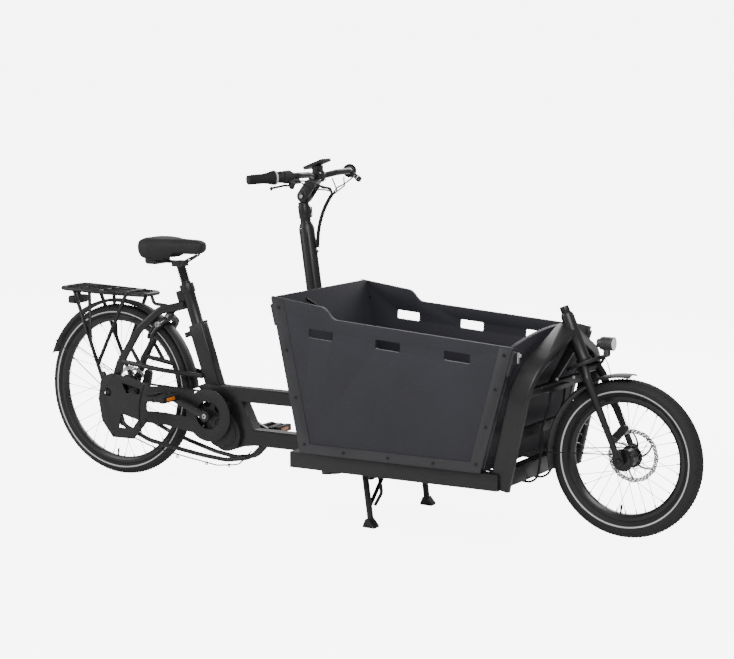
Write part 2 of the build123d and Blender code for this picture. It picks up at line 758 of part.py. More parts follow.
def chain():
    """Chain drawn as one closed band around both toothed wheels."""
    y_low = -chainline - chain_width / 2
    y_high = -chainline + chain_width / 2
    band = chain_loop(chain_height + safe_gap, y_low, y_high)
    return band - chain_loop(safe_gap, y_low - 1, y_high + 1)


def toothed_wheel(x, z, radius, teeth, bore):
    """Flat toothed wheel on the chain line."""
    wheel = disc(x, z, radius - 5, -chainline - 1.5, -chainline + 1.5)
    for i in range(teeth):
        start = on_wheel(x, z, i * 360 / teeth, radius - 9, 0)
        end = on_wheel(x, z, i * 360 / teeth, radius - 2.2, 0)
        wheel += pill((start[0], start[2]), (end[0], end[2]), 2.2, -chainline - 1.5, -chainline + 1.5)
    return wheel - disc(x, z, bore, -100, 0)


chainring_teeth = 40
sprocket_teeth = 20


def sprocket():
    return toothed_wheel(0, rear_axle_z, sprocket_r, sprocket_teeth, driver_r + running_gap)


def chainring():
    """Chainring with five windows, clamped on the crank spindle."""
    wheel = toothed_wheel(crank_x, crank_z, chainring_r, chainring_teeth, spindle_r)
    for i in range(5):
        spot = on_wheel(crank_x, crank_z, 36 + 72 * i, 46, 0)
        wheel -= disc(spot[0], spot[2], 17, -100, 0)
    return wheel


def pedal_axle(side):
    """Side-view place of a pedal's axle; the right crank points back and up."""
    angle = math.radians(crank_rise_deg)
    return (crank_x + side * crank_length * math.cos(angle), crank_z - side * crank_length * math.sin(angle))


crank_in = 72.0
crank_out = 88.0
pedal_half_depth = 46.0
pedal_length = 92.0
pedal_axle_r = 5.0


def cranks():
    """Crank spindle, both crank arms and the two pedal axles, as one rigid set."""
    body = disc(crank_x, crank_z, spindle_r, -crank_out - 2, crank_out + 2)
    for side in (1, -1):
        low, high = sorted((side * crank_in, side * crank_out))
        x, z = pedal_axle(side)
        arm_face = pill((crank_x, crank_z), (x, z), 13, low, high)
        boss = disc(crank_x, crank_z, 20, low, high)
        tip_low, tip_high = sorted((side * crank_in, side * (crank_out + pedal_length + 4)))
        body += arm_face + boss + disc(x, z, pedal_axle_r, tip_low, tip_high)
    return body


def pedal(side):
    """Pedal platform with rubber blocks front and back, turning on its axle."""
    x, z = pedal_axle(side)
    low, high = sorted((side * (crank_out + 6), side * (crank_out + 6 + pedal_length)))
    core = disc(x, z, 11, low, high)
    plates = []
    for edge in (low, high - 7):
        plates.append(block(x - pedal_half_depth, x + pedal_half_depth, edge, edge + 7, z - 9, z + 9))
    bars = []
    for shift in (-pedal_half_depth + 9, pedal_half_depth - 9):
        bars.append(block(x + shift - 9, x + shift + 9, low, high, z - 12, z + 12))
    body = joined([core] + plates + bars)
    return body - disc(x, z, pedal_axle_r + running_gap, low - 10, high + 10)


guard_out = 92.0
guard_in = 64.0
guard_window_r = 52.0


def chain_guard():
    """Slim cover over hub, both chain runs and chainring, stepped inwards towards the cranks."""
    half = 1.5
    plan = [(-60, -guard_out), (188, -guard_out), (246, -guard_in), (crank_x + 110, -guard_in)]
    plan_back = [(x, y + 2 * half) for x, y in reversed(plan)]
    sheet = extrude(Plane.XY.offset(120) * make_face(Polyline(*(plan + plan_back), close=True)), 320)
    hub_part = plate([(-46, 300), (-30, 385), (20, 402), (120, 388), (182, 367), (182, 228), (120, 158),
                      (20, 156), (-30, 215)], -120, -40)
    lower_arm = plate([(140, 275), (140, 233), (crank_x - 60, 200), (crank_x - 60, 256)], -120, -40)
    upper_arm = plate([(150, 367), (150, 322), (crank_x - 60, 315), (crank_x - 60, 358)], -120, -40)
    cover = disc(crank_x, crank_z, chainring_r + 14, -120, -40)
    silhouette = joined([hub_part, lower_arm, upper_arm, cover])
    silhouette -= disc(crank_x, crank_z, guard_window_r, -130, -30)
    silhouette -= plate([(66, 368), (150, 352), (160, 330), (84, 330)], -130, -30)
    silhouette -= plate([(50, 196), (112, 196), (140, 232), (60, 250)], -130, -30)
    silhouette -= disc(0, rear_axle_z, 16, -130, -30)
    return sheet & silhouette


# ---- Rear carrier, fenders, lights, lock -------------------------------------------------
def arc_shell(x, z, radius, half_width, start_deg, sweep_deg):
    """Mudguard: thin shell that is bowed across the wheel and follows it round."""
    thickness = fender_thickness
    drop = 9.0
    outer = ThreePointArc((-half_width, radius - drop), (0, radius), (half_width, radius - drop))
    inner = ThreePointArc((half_width, radius - drop - thickness), (0, radius - thickness),
                          (-half_width, radius - drop - thickness))
    right = Line((half_width, radius - drop), (half_width, radius - drop - thickness))
    left = Line((-half_width, radius - drop - thickness), (-half_width, radius - drop))
    return turned(x, z, make_face([outer, right, inner, left]), start_deg, sweep_deg)


def rear_fender():
    """Rear mudguard with a pair of wire stays to the dropouts."""
    shell = arc_shell(0, rear_axle_z, rear_fender_r, 28, -70, 155)
    tip = on_wheel(0, rear_axle_z, 150, rear_fender_r - 9, 0)
    wires = []
    for side in (1, -1):
        y = side * 30
        wire_top = (tip[0], y, tip[2])
        wires.append(rod(wire_top, (-20, side * (dropout_outside + 3), rear_axle_z + 8), 2.0))
        wires.append(rod((tip[0], side * 24, tip[2]), (tip[0], side * 32, tip[2]), 3.0))
    body = joined([shell] + wires)
    return body - lock_space()


def lock_centre():
    return on_wheel(0, rear_axle_z, lock_deg, rear_tyre_r - 15, 0)


lock_outer_r = 70.0
lock_inner_r = 53.0
lock_bolt_ring_r = 61.5
lock_bolt_r = 3.6
lock_half_thickness = 11.0


def lock_plane():
    """Plane of the ring lock: first axis across the bike, second towards the axle."""
    angle = math.radians(lock_deg)
    inwards = Vector(-math.cos(angle), 0, -math.sin(angle))
    across = Vector(0, 1, 0)
    return Plane(origin=lock_centre(), x_dir=across, z_dir=across.cross(inwards))


def ring_part(inner_r, outer_r, thickness, start_deg, end_deg):
    """Arc-shaped block of the ring lock between two angles from the hub-ward direction."""
    points = [(0, 0)]
    steps = max(2, int(abs(end_deg - start_deg) // 30) + 1)
    for i in range(steps + 1):
        angle = math.radians(90 + start_deg + (end_deg - start_deg) * i / steps)
        points.append((3 * outer_r * math.cos(angle), 3 * outer_r * math.sin(angle)))
    fan = make_face(Polyline(*points, close=True))
    ring = (Circle(outer_r) - Circle(inner_r)) & fan
    return extrude(lock_plane() * ring, thickness / 2, both=True)


def bolt_channel(grow, start_deg, end_deg):
    """Round bar bent to the ring, between two angles from the hub-ward direction."""
    plane = lock_plane()
    first = math.radians(90 + start_deg)
    ring_r = lock_bolt_ring_r
    origin = plane.from_local_coords(Vector(ring_r * math.cos(first), ring_r * math.sin(first)))
    radial = (Vector(origin) - Vector(*lock_centre())).normalized()
    section = Plane(origin=origin, x_dir=radial, z_dir=plane.z_dir.cross(radial)) * Circle(lock_bolt_r + grow)
    axis = Axis(lock_centre(), plane.z_dir)
    return revolve(section, axis=axis, revolution_arc=end_deg - start_deg)


lock_open_deg = 48.0
lock_bolt_span = 112.0


def lock_space():
    """Room that the ring lock and its moving bolt take from the mudguard, if any."""
    return ring_part(lock_inner_r - 0.5, lock_outer_r + 1, 2 * lock_half_thickness + 1, lock_open_deg,
                     360 - lock_open_deg)


def ring_lock():
    """Horseshoe housing around rim and tyre, with a channel for its bolt and a slot for the knob."""
    body = ring_part(lock_inner_r, lock_outer_r, 2 * lock_half_thickness, lock_open_deg, 360 - lock_open_deg)
    channel = bolt_channel(safe_gap, lock_open_deg - 2, 360 - lock_open_deg + 2)
    slot = ring_part(lock_bolt_ring_r, lock_outer_r + 5, 6, lock_open_deg - 2, lock_open_deg + 118)
    foot = rod((214, -40, 646), (214, 40, 646), 7.0 + 0.2)
    return body - channel - slot - foot


def lock_bolt():
    """Curved bolt with a thumb knob, drawn open inside the housing."""
    start = lock_open_deg + 1
    bar = bolt_channel(0, start, start + lock_bolt_span)
    plane = lock_plane()
    angle = math.radians(90 + start + lock_bolt_span - 8)
    ring_r = lock_bolt_ring_r
    near = plane.from_local_coords(Vector(ring_r * math.cos(angle), ring_r * math.sin(angle)))
    tip_r = lock_outer_r + 13
    knob_r = lock_outer_r + 3
    far = plane.from_local_coords(Vector(tip_r * math.cos(angle), tip_r * math.sin(angle)))
    knob_start = plane.from_local_coords(Vector(knob_r * math.cos(angle), knob_r * math.sin(angle)))
    return bar + rod(near, far, 2.2) + rod(knob_start, far, 6.0)


def rack():
    """Luggage carrier: top loop with cross tubes, side legs to the dropouts and a strap block."""
    y = rack_half_width
    z = rack_top_z
    loop_points = [(-40, y, z), (rack_rear_x, y, z + 6), (rack_rear_x, -y, z + 6), (-40, -y, z)]
    loop_rear = bent_tube(loop_points, [26, 26], rack_tube_r)
    front_points = [(-40, y, z), (rack_front_x, y - 22, z - 4), (rack_front_x, -y + 22, z - 4), (-40, -y, z)]
    loop_front = bent_tube(front_points, [22, 22], rack_tube_r)
    pieces = [loop_rear, loop_front]
    for side in (1, -1):
        pieces.append(rod((rack_rear_x + 4, side * 24, z + 6), (rack_front_x - 2, side * 24, z - 4), 5.0))
        leg_y = side * (dropout_outside + rack_leg_r + 0.3)
        leg_top = (-165, side * (y - 1), z)
        leg_foot = (-26, leg_y, rear_axle_z + 36)
        pieces.append(rod(leg_top, leg_foot, rack_leg_r))
        pieces.append(rod((77, side * (y - 8), z), part_way(leg_top, leg_foot, 0.81), rack_leg_r))
        pieces.append(rod((-92, side * (y - 1), z), part_way(leg_top, leg_foot, 0.56), rack_leg_r - 0.5))
        lug_ends = (-27, rear_axle_z + 66), (-20, rear_axle_z + 26)
        lug = pill(*lug_ends, 9, dropout_outside + 0.3, dropout_outside + 6)
        pieces.append(lug if side > 0 else mirror(lug, about=Plane.XZ))
    for x in (-170, -60, 60):
        pieces.append(rod((x, -y + 3, z), (x, y - 3, z), 5.0))
    whole = joined(pieces)
    link = [(rack_front_x - 2, 0, z - 6), (rack_front_x + 10, 0, z - 40), (214, 0, 660)]
    whole += bent_tube(link, [18], 5.0)
    bridge_space = rod((214, -60, 646), (214, 60, 646), 7.3)
    return whole - bridge_space


def tail_light():
    """Red rear lamp hung under the back of the carrier."""
    x = rack_rear_x + 26
    z = rack_top_z - 42
    body = block(x - 16, x + 14, -42, 42, z - 15, z + 15)
    body = fillet(body.edges().filter_by(Axis.X), 10)
    neck = block(x - 4, x + 8, -8, 8, z + 15, rack_top_z + 6 - rack_tube_r - 2)
    return body + neck


def rear_caliper():
    """Rear disc brake caliper on the left dropout, around the disc's edge."""
    mount = on_wheel(0, rear_axle_z, 12, rear_rotor_r - 2, 0)
    body = pill((mount[0] - 4, mount[2] + 2), (mount[0] + 4, mount[2] + 42), 15, 50, dropout_inside - 0.3)
    gap_low = rear_rotor_y - 1.0
    gap = disc(0, rear_axle_z, rear_rotor_r + 3, gap_low, gap_low + rotor_thickness + 2)
    return body - gap - disc(0, rear_axle_z, 52, 40, 70)


rear_rotor_y = 58.0
front_rotor_y = 50.0


def rear_axle():
    """Hub axle with a nut outside each dropout."""
    body = disc(0, rear_axle_z, axle_r, -dropout_outside - 12, dropout_outside + 12)
    for side in (1, -1):
        low, high = sorted((side * dropout_outside, side * (dropout_outside + 7)))
        nut = Plane.XZ.offset(-high) * Pos(0, rear_axle_z) * RegularPolygon(10, 6)
        body += extrude(nut, high - low)
        low, high = sorted((side * (dropout_inside - 3.5), side * dropout_inside))
        body += disc(0, rear_axle_z, 10, low, high)
    return body


# ---- Fork and its pieces -----------------------------------------------------------------
lamp_pivot = (-18.0, 84.0)
lamp_r = 21.5
lamp_arm_r = 5.0
quadrant_r = 64.0
quadrant_height = 12.0


def lamp_arm(radius):
    """Bent bar from the crown forwards to the headlamp's hinge."""
    points = [head_point(-30, 10), head_point(-36, 56), head_point(lamp_pivot[0], lamp_pivot[1] - 6)]
    return bent_tube(points, [16], radius)


def fork_leg(side):
    """One tapered fork leg from crown to dropout."""
    crown = head_point(-30, 14, side * 46)
    knee = head_point(-70, 16, side * (fork_leg_y - 4))
    axle = (wheelbase - 4, side * fork_leg_y, front_axle_z + 10)
    upper = rod(crown, knee, 14)
    ball = Pos(*knee) * Sphere(14)
    lower_plane = Plane(origin=knee, z_dir=Vector(*axle) - Vector(*knee))
    run = (Vector(*axle) - Vector(*knee)).length
    lower = extrude(lower_plane * Circle(14), run, taper=math.degrees(math.atan2(4.5, run)))
    low, high = sorted((side * (fork_leg_y - 9), side * (fork_leg_y + 5)))
    tip = pill((wheelbase, front_axle_z), (wheelbase - 8, front_axle_z + 26), 14, low, high)
    return joined([upper, ball, lower, tip])


def fork():
    """Rigid fork: steerer, crown, two legs and the lamp bracket on the crown."""
    steerer = rod(head_point(-40), head_point(166), steerer_r)
    cap = rod(head_point(160.4), head_point(180), 15.5)
    crown = rod(head_point(-34, 4, -52), head_point(-34, 4, 52), 17)
    seat = rod(head_point(-40), head_point(-12.4), 20)
    legs = [fork_leg(side) for side in (1, -1)]
    whole = joined([steerer, cap, crown, seat, lamp_arm(lamp_arm_r)] + legs)
    return whole - disc(wheelbase, front_axle_z, axle_r, -120, 120)


def front_axle():
    """Thru-axle with a head and a lever-less nut."""
    body = disc(wheelbase, front_axle_z, axle_r, -fork_leg_y - 12, fork_leg_y + 12)
    body += disc(wheelbase, front_axle_z, 11, -fork_leg_y - 14, -fork_leg_y - 5)
    body += disc(wheelbase, front_axle_z, 11, fork_leg_y + 5, fork_leg_y + 14)
    return body


def front_fender():
    """Front mudguard with one wire stay each side."""
    shell = arc_shell(wheelbase, front_axle_z, front_fender_r, 33, -103, 107)
    tail = on_wheel(wheelbase, front_axle_z, 180, front_fender_r - 8, 0)
    wires = []
    for side in (1, -1):
        end = (wheelbase - 14, side * (fork_leg_y + 7), front_axle_z + 24)
        wires.append(rod((tail[0], side * 34, tail[2]), end, 2.0))
        wires.append(rod((tail[0], side * 27, tail[2]), (tail[0], side * 36, tail[2]), 3.0))
        wires.append(rod(end, (end[0], side * (fork_leg_y + 4), end[2]), 3.0))
    bridge_top = head_point(-34, 10, 0)
    crown_tab = rod(bridge_top, on_wheel(wheelbase, front_axle_z, 121, front_fender_r - 1, 0), 4.0)
    whole = joined([shell, crown_tab] + wires)
    return whole - fork_blank()


def fork_blank():
    """Space taken by the fork's crown and legs."""
    pieces = [fork_leg(side) for side in (1, -1)]
    return joined([rod(head_point(-34, 4, -52), head_point(-34, 4, 52), 17.1)] + pieces)


def front_caliper():
    """Front disc brake caliper behind the left fork leg."""
    spot = on_wheel(wheelbase, front_axle_z, 142, front_rotor_r - 6, 0)
    up = on_wheel(wheelbase, front_axle_z, 112, front_rotor_r + 4, 0)
    body = pill((spot[0], spot[2]), (up[0], up[2]), 13, 40, fork_leg_y - 2)
    gap_high = front_rotor_y + rotor_thickness + 1.5
    gap = disc(wheelbase, front_axle_z, front_rotor_r + 3, front_rotor_y - 1.5, gap_high)
    body -= gap
    body -= disc(wheelbase, front_axle_z, front_hub_r + 30, 30, 90)
    hose = bent_tube([(up[0] - 4, 46, up[2] + 8), (up[0] - 34, 52, up[2] + 60), head_point(-72, -16, 50),
                      head_point(-30, -20, 34)], [60, 40], 2.5)
    return joined([body, hose]) - fork_blank()


def cable_sector():
    """Grooved quadrant clamped on the crown, which the steering cables turn."""
    upwards = Vector(*head_point(0)) - Vector(*head_point(-24))
    plane = Plane(origin=head_point(-24), x_dir=(0, 1, 0), z_dir=upwards)
    body = extrude(plane * (Circle(quadrant_r) - Circle(20.0)), quadrant_height)
    torus = plane.offset(quadrant_height / 2) * Torus(quadrant_r + 1.5, 3.4)
    body -= torus
    crown_space = rod(head_point(-34, 4, -52), head_point(-34, 4, 52), 17.2)
    return without(body, [lamp_arm(lamp_arm_r + 0.6), crown_space, fork_leg(1), fork_leg(-1)])


def headlight():
    """Round headlamp on a short tilting foot."""
    x, _, z = head_point(*lamp_pivot)
    z_mid = z + 16 + lamp_r
    shell = rod((x - 20, 0, z_mid), (x + 20, 0, z_mid), lamp_r)
    dome = rod((x - 32, 0, z_mid), (x - 20, 0, z_mid), 15)
    rim_ring = rod((x + 20, 0, z_mid), (x + 25, 0, z_mid), lamp_r + 1.5)
    foot = pill((x, z), (x, z + 30), 8, -12, -6) + pill((x, z), (x, z + 30), 8, 6, 12)
    bolt = disc(x, z, 3.5, -15, 15)
    return joined([shell, dome, rim_ring, foot]) + bolt


def fork_with_lamp_eye():
    """Fork with the eye that the headlamp's foot tilts on."""
    x, _, z = head_point(*lamp_pivot)
    eye = disc(x, z, 8, -5.6, 5.6)
    body = fork() + eye
    return body - disc(x, z, 3.5 + running_gap, -20, 20)


# ---- Steering shaft, stem and bar --------------------------------------------------------
shaft_up = Vector(-column_lean, 0, 1).normalized()


def steering_shaft():
    """Shaft through the column with the cable pulley below and the stem's hinge head on top."""
    body = rod(column_point(98), column_point(1068), shaft_r)
    pulley_plane = Plane(origin=column_point(104), x_dir=(0, 1, 0), z_dir=shaft_up)
    pulley = extrude(pulley_plane * Circle(pulley_r), 12)
    pulley -= pulley_plane.offset(6) * Torus(pulley_r + 1.5, 3.4)
    collar_plane = Plane(origin=column_point(column_top_z + 0.4), z_dir=shaft_up)
    flange = extrude(collar_plane * Circle(column_r), 18, taper=20)
    collar = rod(column_point(1010), column_point(1056), shaft_r + 2.5)
    pad = block(column_point(1030)[0] + 10, column_point(1030)[0] + 27, -9, 9, 1014, 1052)
    head = disc(stem_pivot_x, stem_pivot_z, hinge_head_r, -13, 13)
    neck = rod(column_point(1050), (stem_pivot_x - 4, 0, stem_pivot_z - 6), 13)
    whole = joined([body, pulley, flange, collar, pad, head, neck])
    whole -= rod(column_point(90), column_point(1040), shaft_r - shaft_wall)
    ear_space = disc(stem_pivot_x, stem_pivot_z, 27, 13, 40) + disc(stem_pivot_x, stem_pivot_z, 27, -40, -13)
    return whole - ear_space - disc(stem_pivot_x, stem_pivot_z, 5.0 + running_gap, -40, 40)


def grip_line(side):
    """Outer end of the handlebar on one side, and the direction outwards along its grip."""
    end = Vector(bar_clamp_x - bar_sweep_back, side * bar_half_width, bar_clamp_z + 2)
    turn = math.radians(grip_sweep_deg)
    return end, Vector(-math.sin(turn), side * math.cos(turn), -0.05).normalized()


def bar_points():
    """Line of the handlebar, swept back at both grips."""
    end, run = grip_line(1)
    corner = end - run * (grip_length + 60)
    bend = Vector(corner.X - 6, corner.Y - 78, corner.Z - 2)
    half = [Vector(bar_clamp_x, 36, bar_clamp_z), bend, corner, end]
    right = [(p.X, -p.Y, p.Z) for p in reversed(half)]
    return right + [(p.X, p.Y, p.Z) for p in half]


def handlebar():
    return bent_tube(bar_points(), [40, 50, 60, 60, 50, 40], bar_r, bar_r - bar_wall)


def stem():
    """Angle-adjustable stem: two ears on the hinge head, an arm and the bar clamp."""
    pivot = (stem_pivot_x, stem_pivot_z)
    clamp = (bar_clamp_x, bar_clamp_z)
    ears = [pill(pivot, (stem_pivot_x + 30, stem_pivot_z + 40), 21, low, high) for low, high in
            ((13.4, 21), (-21, -13.4))]
    arm = pill((stem_pivot_x + 30, stem_pivot_z + 40), (bar_clamp_x - 6, bar_clamp_z - 8), 15, -21, 21)
    arm -= disc(stem_pivot_x, stem_pivot_z, hinge_head_r + 0.6, -13.4, 13.4)
    clamp_ring = disc(clamp[0], clamp[1], 19, -24, 24)
    pin = disc(stem_pivot_x, stem_pivot_z, 5.0, -24, 24)
    heads = [disc(stem_pivot_x, stem_pivot_z, 9, low, high) for low, high in ((21, 26), (-26, -21))]
    body = joined(ears + [arm, clamp_ring, pin] + heads)
    return body - disc(clamp[0], clamp[1], bar_r, -60, 60)


def grips():
    """Two rubber grips; the right one is shorter to leave room for the twist shifter."""
    pieces = []
    for side, length in ((1, grip_length), (-1, grip_length - 34)):
        end, run = grip_line(side)
        start = end - run * length
        tip = end + run * 4
        body = rod(start, tip, grip_r)
        flare_plane = Plane(origin=start, z_dir=run)
        body += loft([flare_plane * Circle(grip_flare_r), flare_plane.offset(40) * Circle(grip_r)])
        pieces.append(body - rod(start - run * 5, end, bar_r))
    return pieces


def shifter():
    """Twist ring of the gear shifter, inboard of the right grip."""
    end, run = grip_line(-1)
    outer = end - run * (grip_length - 34 + safe_gap)
    inner = outer - run * 32
    ring = rod(inner, outer, 18.5)
    ring += rod(inner, (inner + run * 8), 20.5)
    return ring - rod((inner - run * 9), (outer + run * 9), bar_r + running_gap)


def lever_base(side):
    """Where one brake lever's clamp sits on the bar, the way out along the bar, and ahead and down."""
    end, run = grip_line(side)
    spot = end - run * (grip_length + 20)
    level = Vector(0, 0, 1).cross(run).normalized() * (-side)
    drop = math.radians(lever_drop_deg)
    ahead = level * math.cos(drop) - Vector(0, 0, 1) * math.sin(drop)
    ahead = (ahead - run * ahead.dot(run)).normalized()
    return spot, run, ahead


def lever_axis(side):
    """Centre of a brake lever's hinge and the direction of its pin, so that a pull turns it positively."""
    spot, run, ahead = lever_base(side)
    return spot + ahead * lever_reach, ahead.cross(run)


def lever_mounts():
    """Bar clamps and fluid bodies that hold the two brake levers."""
    pieces = []
    for side in (1, -1):
        spot, run, ahead = lever_base(side)
        pivot, pin = lever_axis(side)
        ring = rod(spot - run * 8, spot + run * 8, bar_r + 5.5)
        body = rod(spot - run * 34 + ahead * 27, spot + run * 4 + ahead * 27, 9)
        link = rod(spot, spot + ahead * 30, 7.5)
        ears = rod(pivot - pin * 10, pivot + pin * 10, 9)
        cheek = rod(spot + ahead * 26, pivot, 9)
        whole = joined([ring, body, link, ears, cheek])
        slot_plane = Plane(origin=pivot, x_dir=run, z_dir=pin)
        whole -= extrude(slot_plane * Circle(13), 4.6, both=True)
        whole -= rod(pivot - pin * 20, pivot + pin * 20, 2.5 + running_gap)
        whole -= rod(spot - run * 20, spot + run * 20, bar_r)
        pieces.append(whole)
    return pieces


def brake_lever(side):
    """Curved finger lever on its pin, with a ball at the tip."""
    _, run, ahead = lever_base(side)
    pivot, pin = lever_axis(side)
    knee = pivot + run * 30 - ahead * 3
    tip = pivot + run * lever_length + ahead * 4
    root = rod(pivot - pin * 4.2, pivot + pin * 4.2, 8)
    bolt = rod(pivot - pin * 11, pivot + pin * 11, 2.5)
    blade = rod(pivot, knee, 4.0) + Pos(*knee) * Sphere(4.0)
    blade += rod(knee, tip, 4.0)
    blade += Pos(*tip) * Sphere(6.0)
    return joined([root, bolt, blade])


def display():
    """Small screen unit on a bridge over the stem clamp."""
    x = bar_clamp_x
    z = bar_clamp_z
    bridge = block(x - 11, x + 9, -22, 22, z + 12, z + 38)
    screen = Pos(x - 4, 0, z + 43) * Rot(0, -21, 0) * Box(86, 62, 11)
    screen = fillet(screen.edges().filter_by(lambda e: e.length < 12), 5)
    return bridge - disc(x, z, 19, -30, 30) + screen


sleeve_top = (942.0, 0.0, 1096.0)
sleeve_r = 5.0
hose_r = 2.2


def cable_sleeve():
    """Thick sleeve that gathers the hoses and leads them down to the column."""
    points = [sleeve_top, (913, 0, 1052), (892, 0, 1002), (884.5, 0, 952), (882.5, 0, 908)]
    return bent_tube(points, [120, 120, 120], sleeve_r)


def bar_hoses():
    """Brake hoses and the shift cable from the bar down to the top of the sleeve."""
    pieces = []
    x, _, z = sleeve_top
    for side, spread in ((1, 2.6), (-1, -2.6)):
        spot, run, ahead = lever_base(side)
        start = spot - run * 34.4 + ahead * 27
        points = [start, start - run * 34, (950, side * 66, 1128), (x + 12, spread + side * 8, z + 26),
                  (x + 1, spread, z + 1.5)]
        pieces.append(bent_tube(points, [30, 30, 18], hose_r))
    return pieces


# ---- Seat --------------------------------------------------------------------------------
def seatpost():
    """Outer tube of the sprung seat post, sliding in the mast."""
    body = rod(along_mast(-215), along_mast(8), post_r)
    lip = rod(along_mast(4.6), along_mast(14), post_r + 4)
    return body + lip - rod(along_mast(-120), along_mast(30), rod_r + running_gap)


def seatpost_boot():
    """Rubber bellows around the sprung rod."""
    body = rod(along_mast(14), along_mast(66), 15)
    for i in range(6):
        distance = 17 + i * 8
        body += rod(along_mast(distance), along_mast(distance + 4), 18.5)
    return body - rod(along_mast(0), along_mast(80), rod_r + 1)


def saddle_frame():
    """Sprung rod, its head clamp and the saddle's two rails."""
    inner = rod(along_mast(-70), along_mast(84), rod_r)
    head_x_pos, _, head_z_pos = along_mast(86)
    head = block(head_x_pos - 20, head_x_pos + 20, -26, 26, head_z_pos - 12, head_z_pos + 8)
    cap = rod(along_mast(66.6), along_mast(76), 17)
    rails = []
    for side in (1, -1):
        points = [(132, side * 38, head_z_pos + 34), (170, side * 24, head_z_pos + 3),
                  (300, side * 22, head_z_pos + 3), (362, side * 9, head_z_pos + 34)]
        rails.append(bent_tube(points, [30, 30], 3.5))
    return joined([inner, head, cap] + rails)


saddle_rear_x = 118.0


def saddle():
    """Plain closed form of the padded saddle, wide at the back and narrow at the nose."""
    _, _, head_z_pos = along_mast(86)
    low = head_z_pos + 12
    high = saddle_top_z
    stations = [(0.0, 0.62, 0.70), (0.10, 0.92, 0.92), (0.24, 1.0, 1.0), (0.42, 0.82, 0.92),
                (0.60, 0.52, 0.72), (0.80, 0.38, 0.62), (0.95, 0.32, 0.60), (1.0, 0.22, 0.45)]
    faces = []
    for share, wide, tall in stations:
        x = saddle_rear_x + share * saddle_length
        height = (high - low) * tall
        width = saddle_width * wide
        plane = Plane(origin=(x, 0, high - height / 2 - (high - low) * (1 - tall) * 0.15), x_dir=(0, 1, 0),
                      z_dir=(1, 0, 0))
        faces.append(plane * RectangleRounded(width, height, min(width, height) * 0.42))
    body = loft(faces, ruled=True)
    tunnel = block(100, 420, -44, 44, low - 60, head_z_pos + 40)
    return body - tunnel


# ---- Stand -------------------------------------------------------------------------------
def ground_slope():
    """Slope of the ground under the bike when it rests on its rear tyre and stand."""
    reach = math.hypot(stand_foot_x, rear_tyre_r - stand_foot_z)
    lift = math.atan2(rear_tyre_r - stand_foot_z, stand_foot_x)
    return lift - math.asin(rear_tyre_r / reach)


def ground_z(x):
    """Height of the ground line under the bike at a place along it."""
    return stand_foot_z + (stand_foot_x - x) * math.tan(ground_slope())


def stand():
    """Double-leg centre stand with splayed feet, an axle tube and a foot lever."""
    pieces = []
    span = stand_leg_y + 4
    axle = rod((stand_pivot_x, -span, stand_pivot_z), (stand_pivot_x, span, stand_pivot_z), stand_tube_r)
    pieces.append(axle)
    for side in (1, -1):
        foot_x = stand_foot_x
        y = side * stand_leg_y
        leg = rod((stand_pivot_x, y, stand_pivot_z), (foot_x, y, ground_z(foot_x) + 14), stand_tube_r)
        low, high = sorted((y - side * 14, y + side * 20))
        foot = [(foot_x - 22, ground_z(foot_x - 22)), (foot_x + 24, ground_z(foot_x + 24)),
                (foot_x + 24, ground_z(foot_x) + 7), (foot_x + 4, ground_z(foot_x) + 30),
                (foot_x - 12, ground_z(foot_x) + 30), (foot_x - 22, ground_z(foot_x) + 7)]
        brace_low = (foot_x - 4, y - side * 4, stand_pivot_z - 95)
        brace = rod(brace_low, (stand_pivot_x + 4, side * 70, stand_pivot_z), 7)
        pieces += [leg, plate(foot, low, high), brace]
    lever = bent_tube([(stand_pivot_x, -110, stand_pivot_z), (stand_pivot_x + 14, -112, stand_pivot_z - 70),
                       (stand_pivot_x - 10, -118, stand_pivot_z - 116)], [30], 6)
    pieces.append(lever)
    return joined(pieces)


# ---- Cables ------------------------------------------------------------------------------
def frame_cables():
    """Steering cable housings under the box and the hoses along the lower stay."""
    pieces = []
    stop_x = arch_x + arch_lean * (480 - sill_high) - 12 + 21
    for side in (1, -1):
        points = [(column_point(104)[0] + 75, side * 44, 128), (1080, side * 44, 146), (1150, side * 44, 170),
                  (1250, side * 44, 171), (1480, side * 40, 186), (sill_front_x - 100, side * 42, 180),
                  (sill_front_x - 40, side * 44, 160), (sill_front_x + 22, side * 48, 158),
                  (sill_front_x + 36, side * 52, 250), (sill_front_x + 41, side * 54, 350),
                  (stop_x - 3, side * 55, 430), (stop_x, side * 55, 476)]
        pieces.append(bent_tube(points, [60, 60, 60, 80, 80, 60, 45, 80, 90, 40], 4.0))
    points = [(612, -33, 150), (560, -40, 96), (470, -50, 86),
              (345, -62, 106), (210, -80, 131), (96, -85, 168)]
    pieces.append(bent_tube(points, [40, 90, 120, 120], 2.5))
    return pieces


def battery_key():
    """Key in the battery lock, on the back of the mast."""
    z = mast_case_top_z - 25
    shank = rod(mast_point(z, -31), mast_point(z, -52), 4.0)
    outwards = Vector(*mast_point(z, -60)) - Vector(*mast_point(z, -52))
    bow = Plane(origin=mast_point(z, -52), x_dir=(0, 1, 0), z_dir=outwards)
    head = extrude(bow * RectangleRounded(5, 20, 2), 18)
    return shank + head


# ---- Assembly ----------------------------------------------------------------------------
def group(pieces):
    """Several loose solids kept together in one node."""
    return Compound(children=pieces)


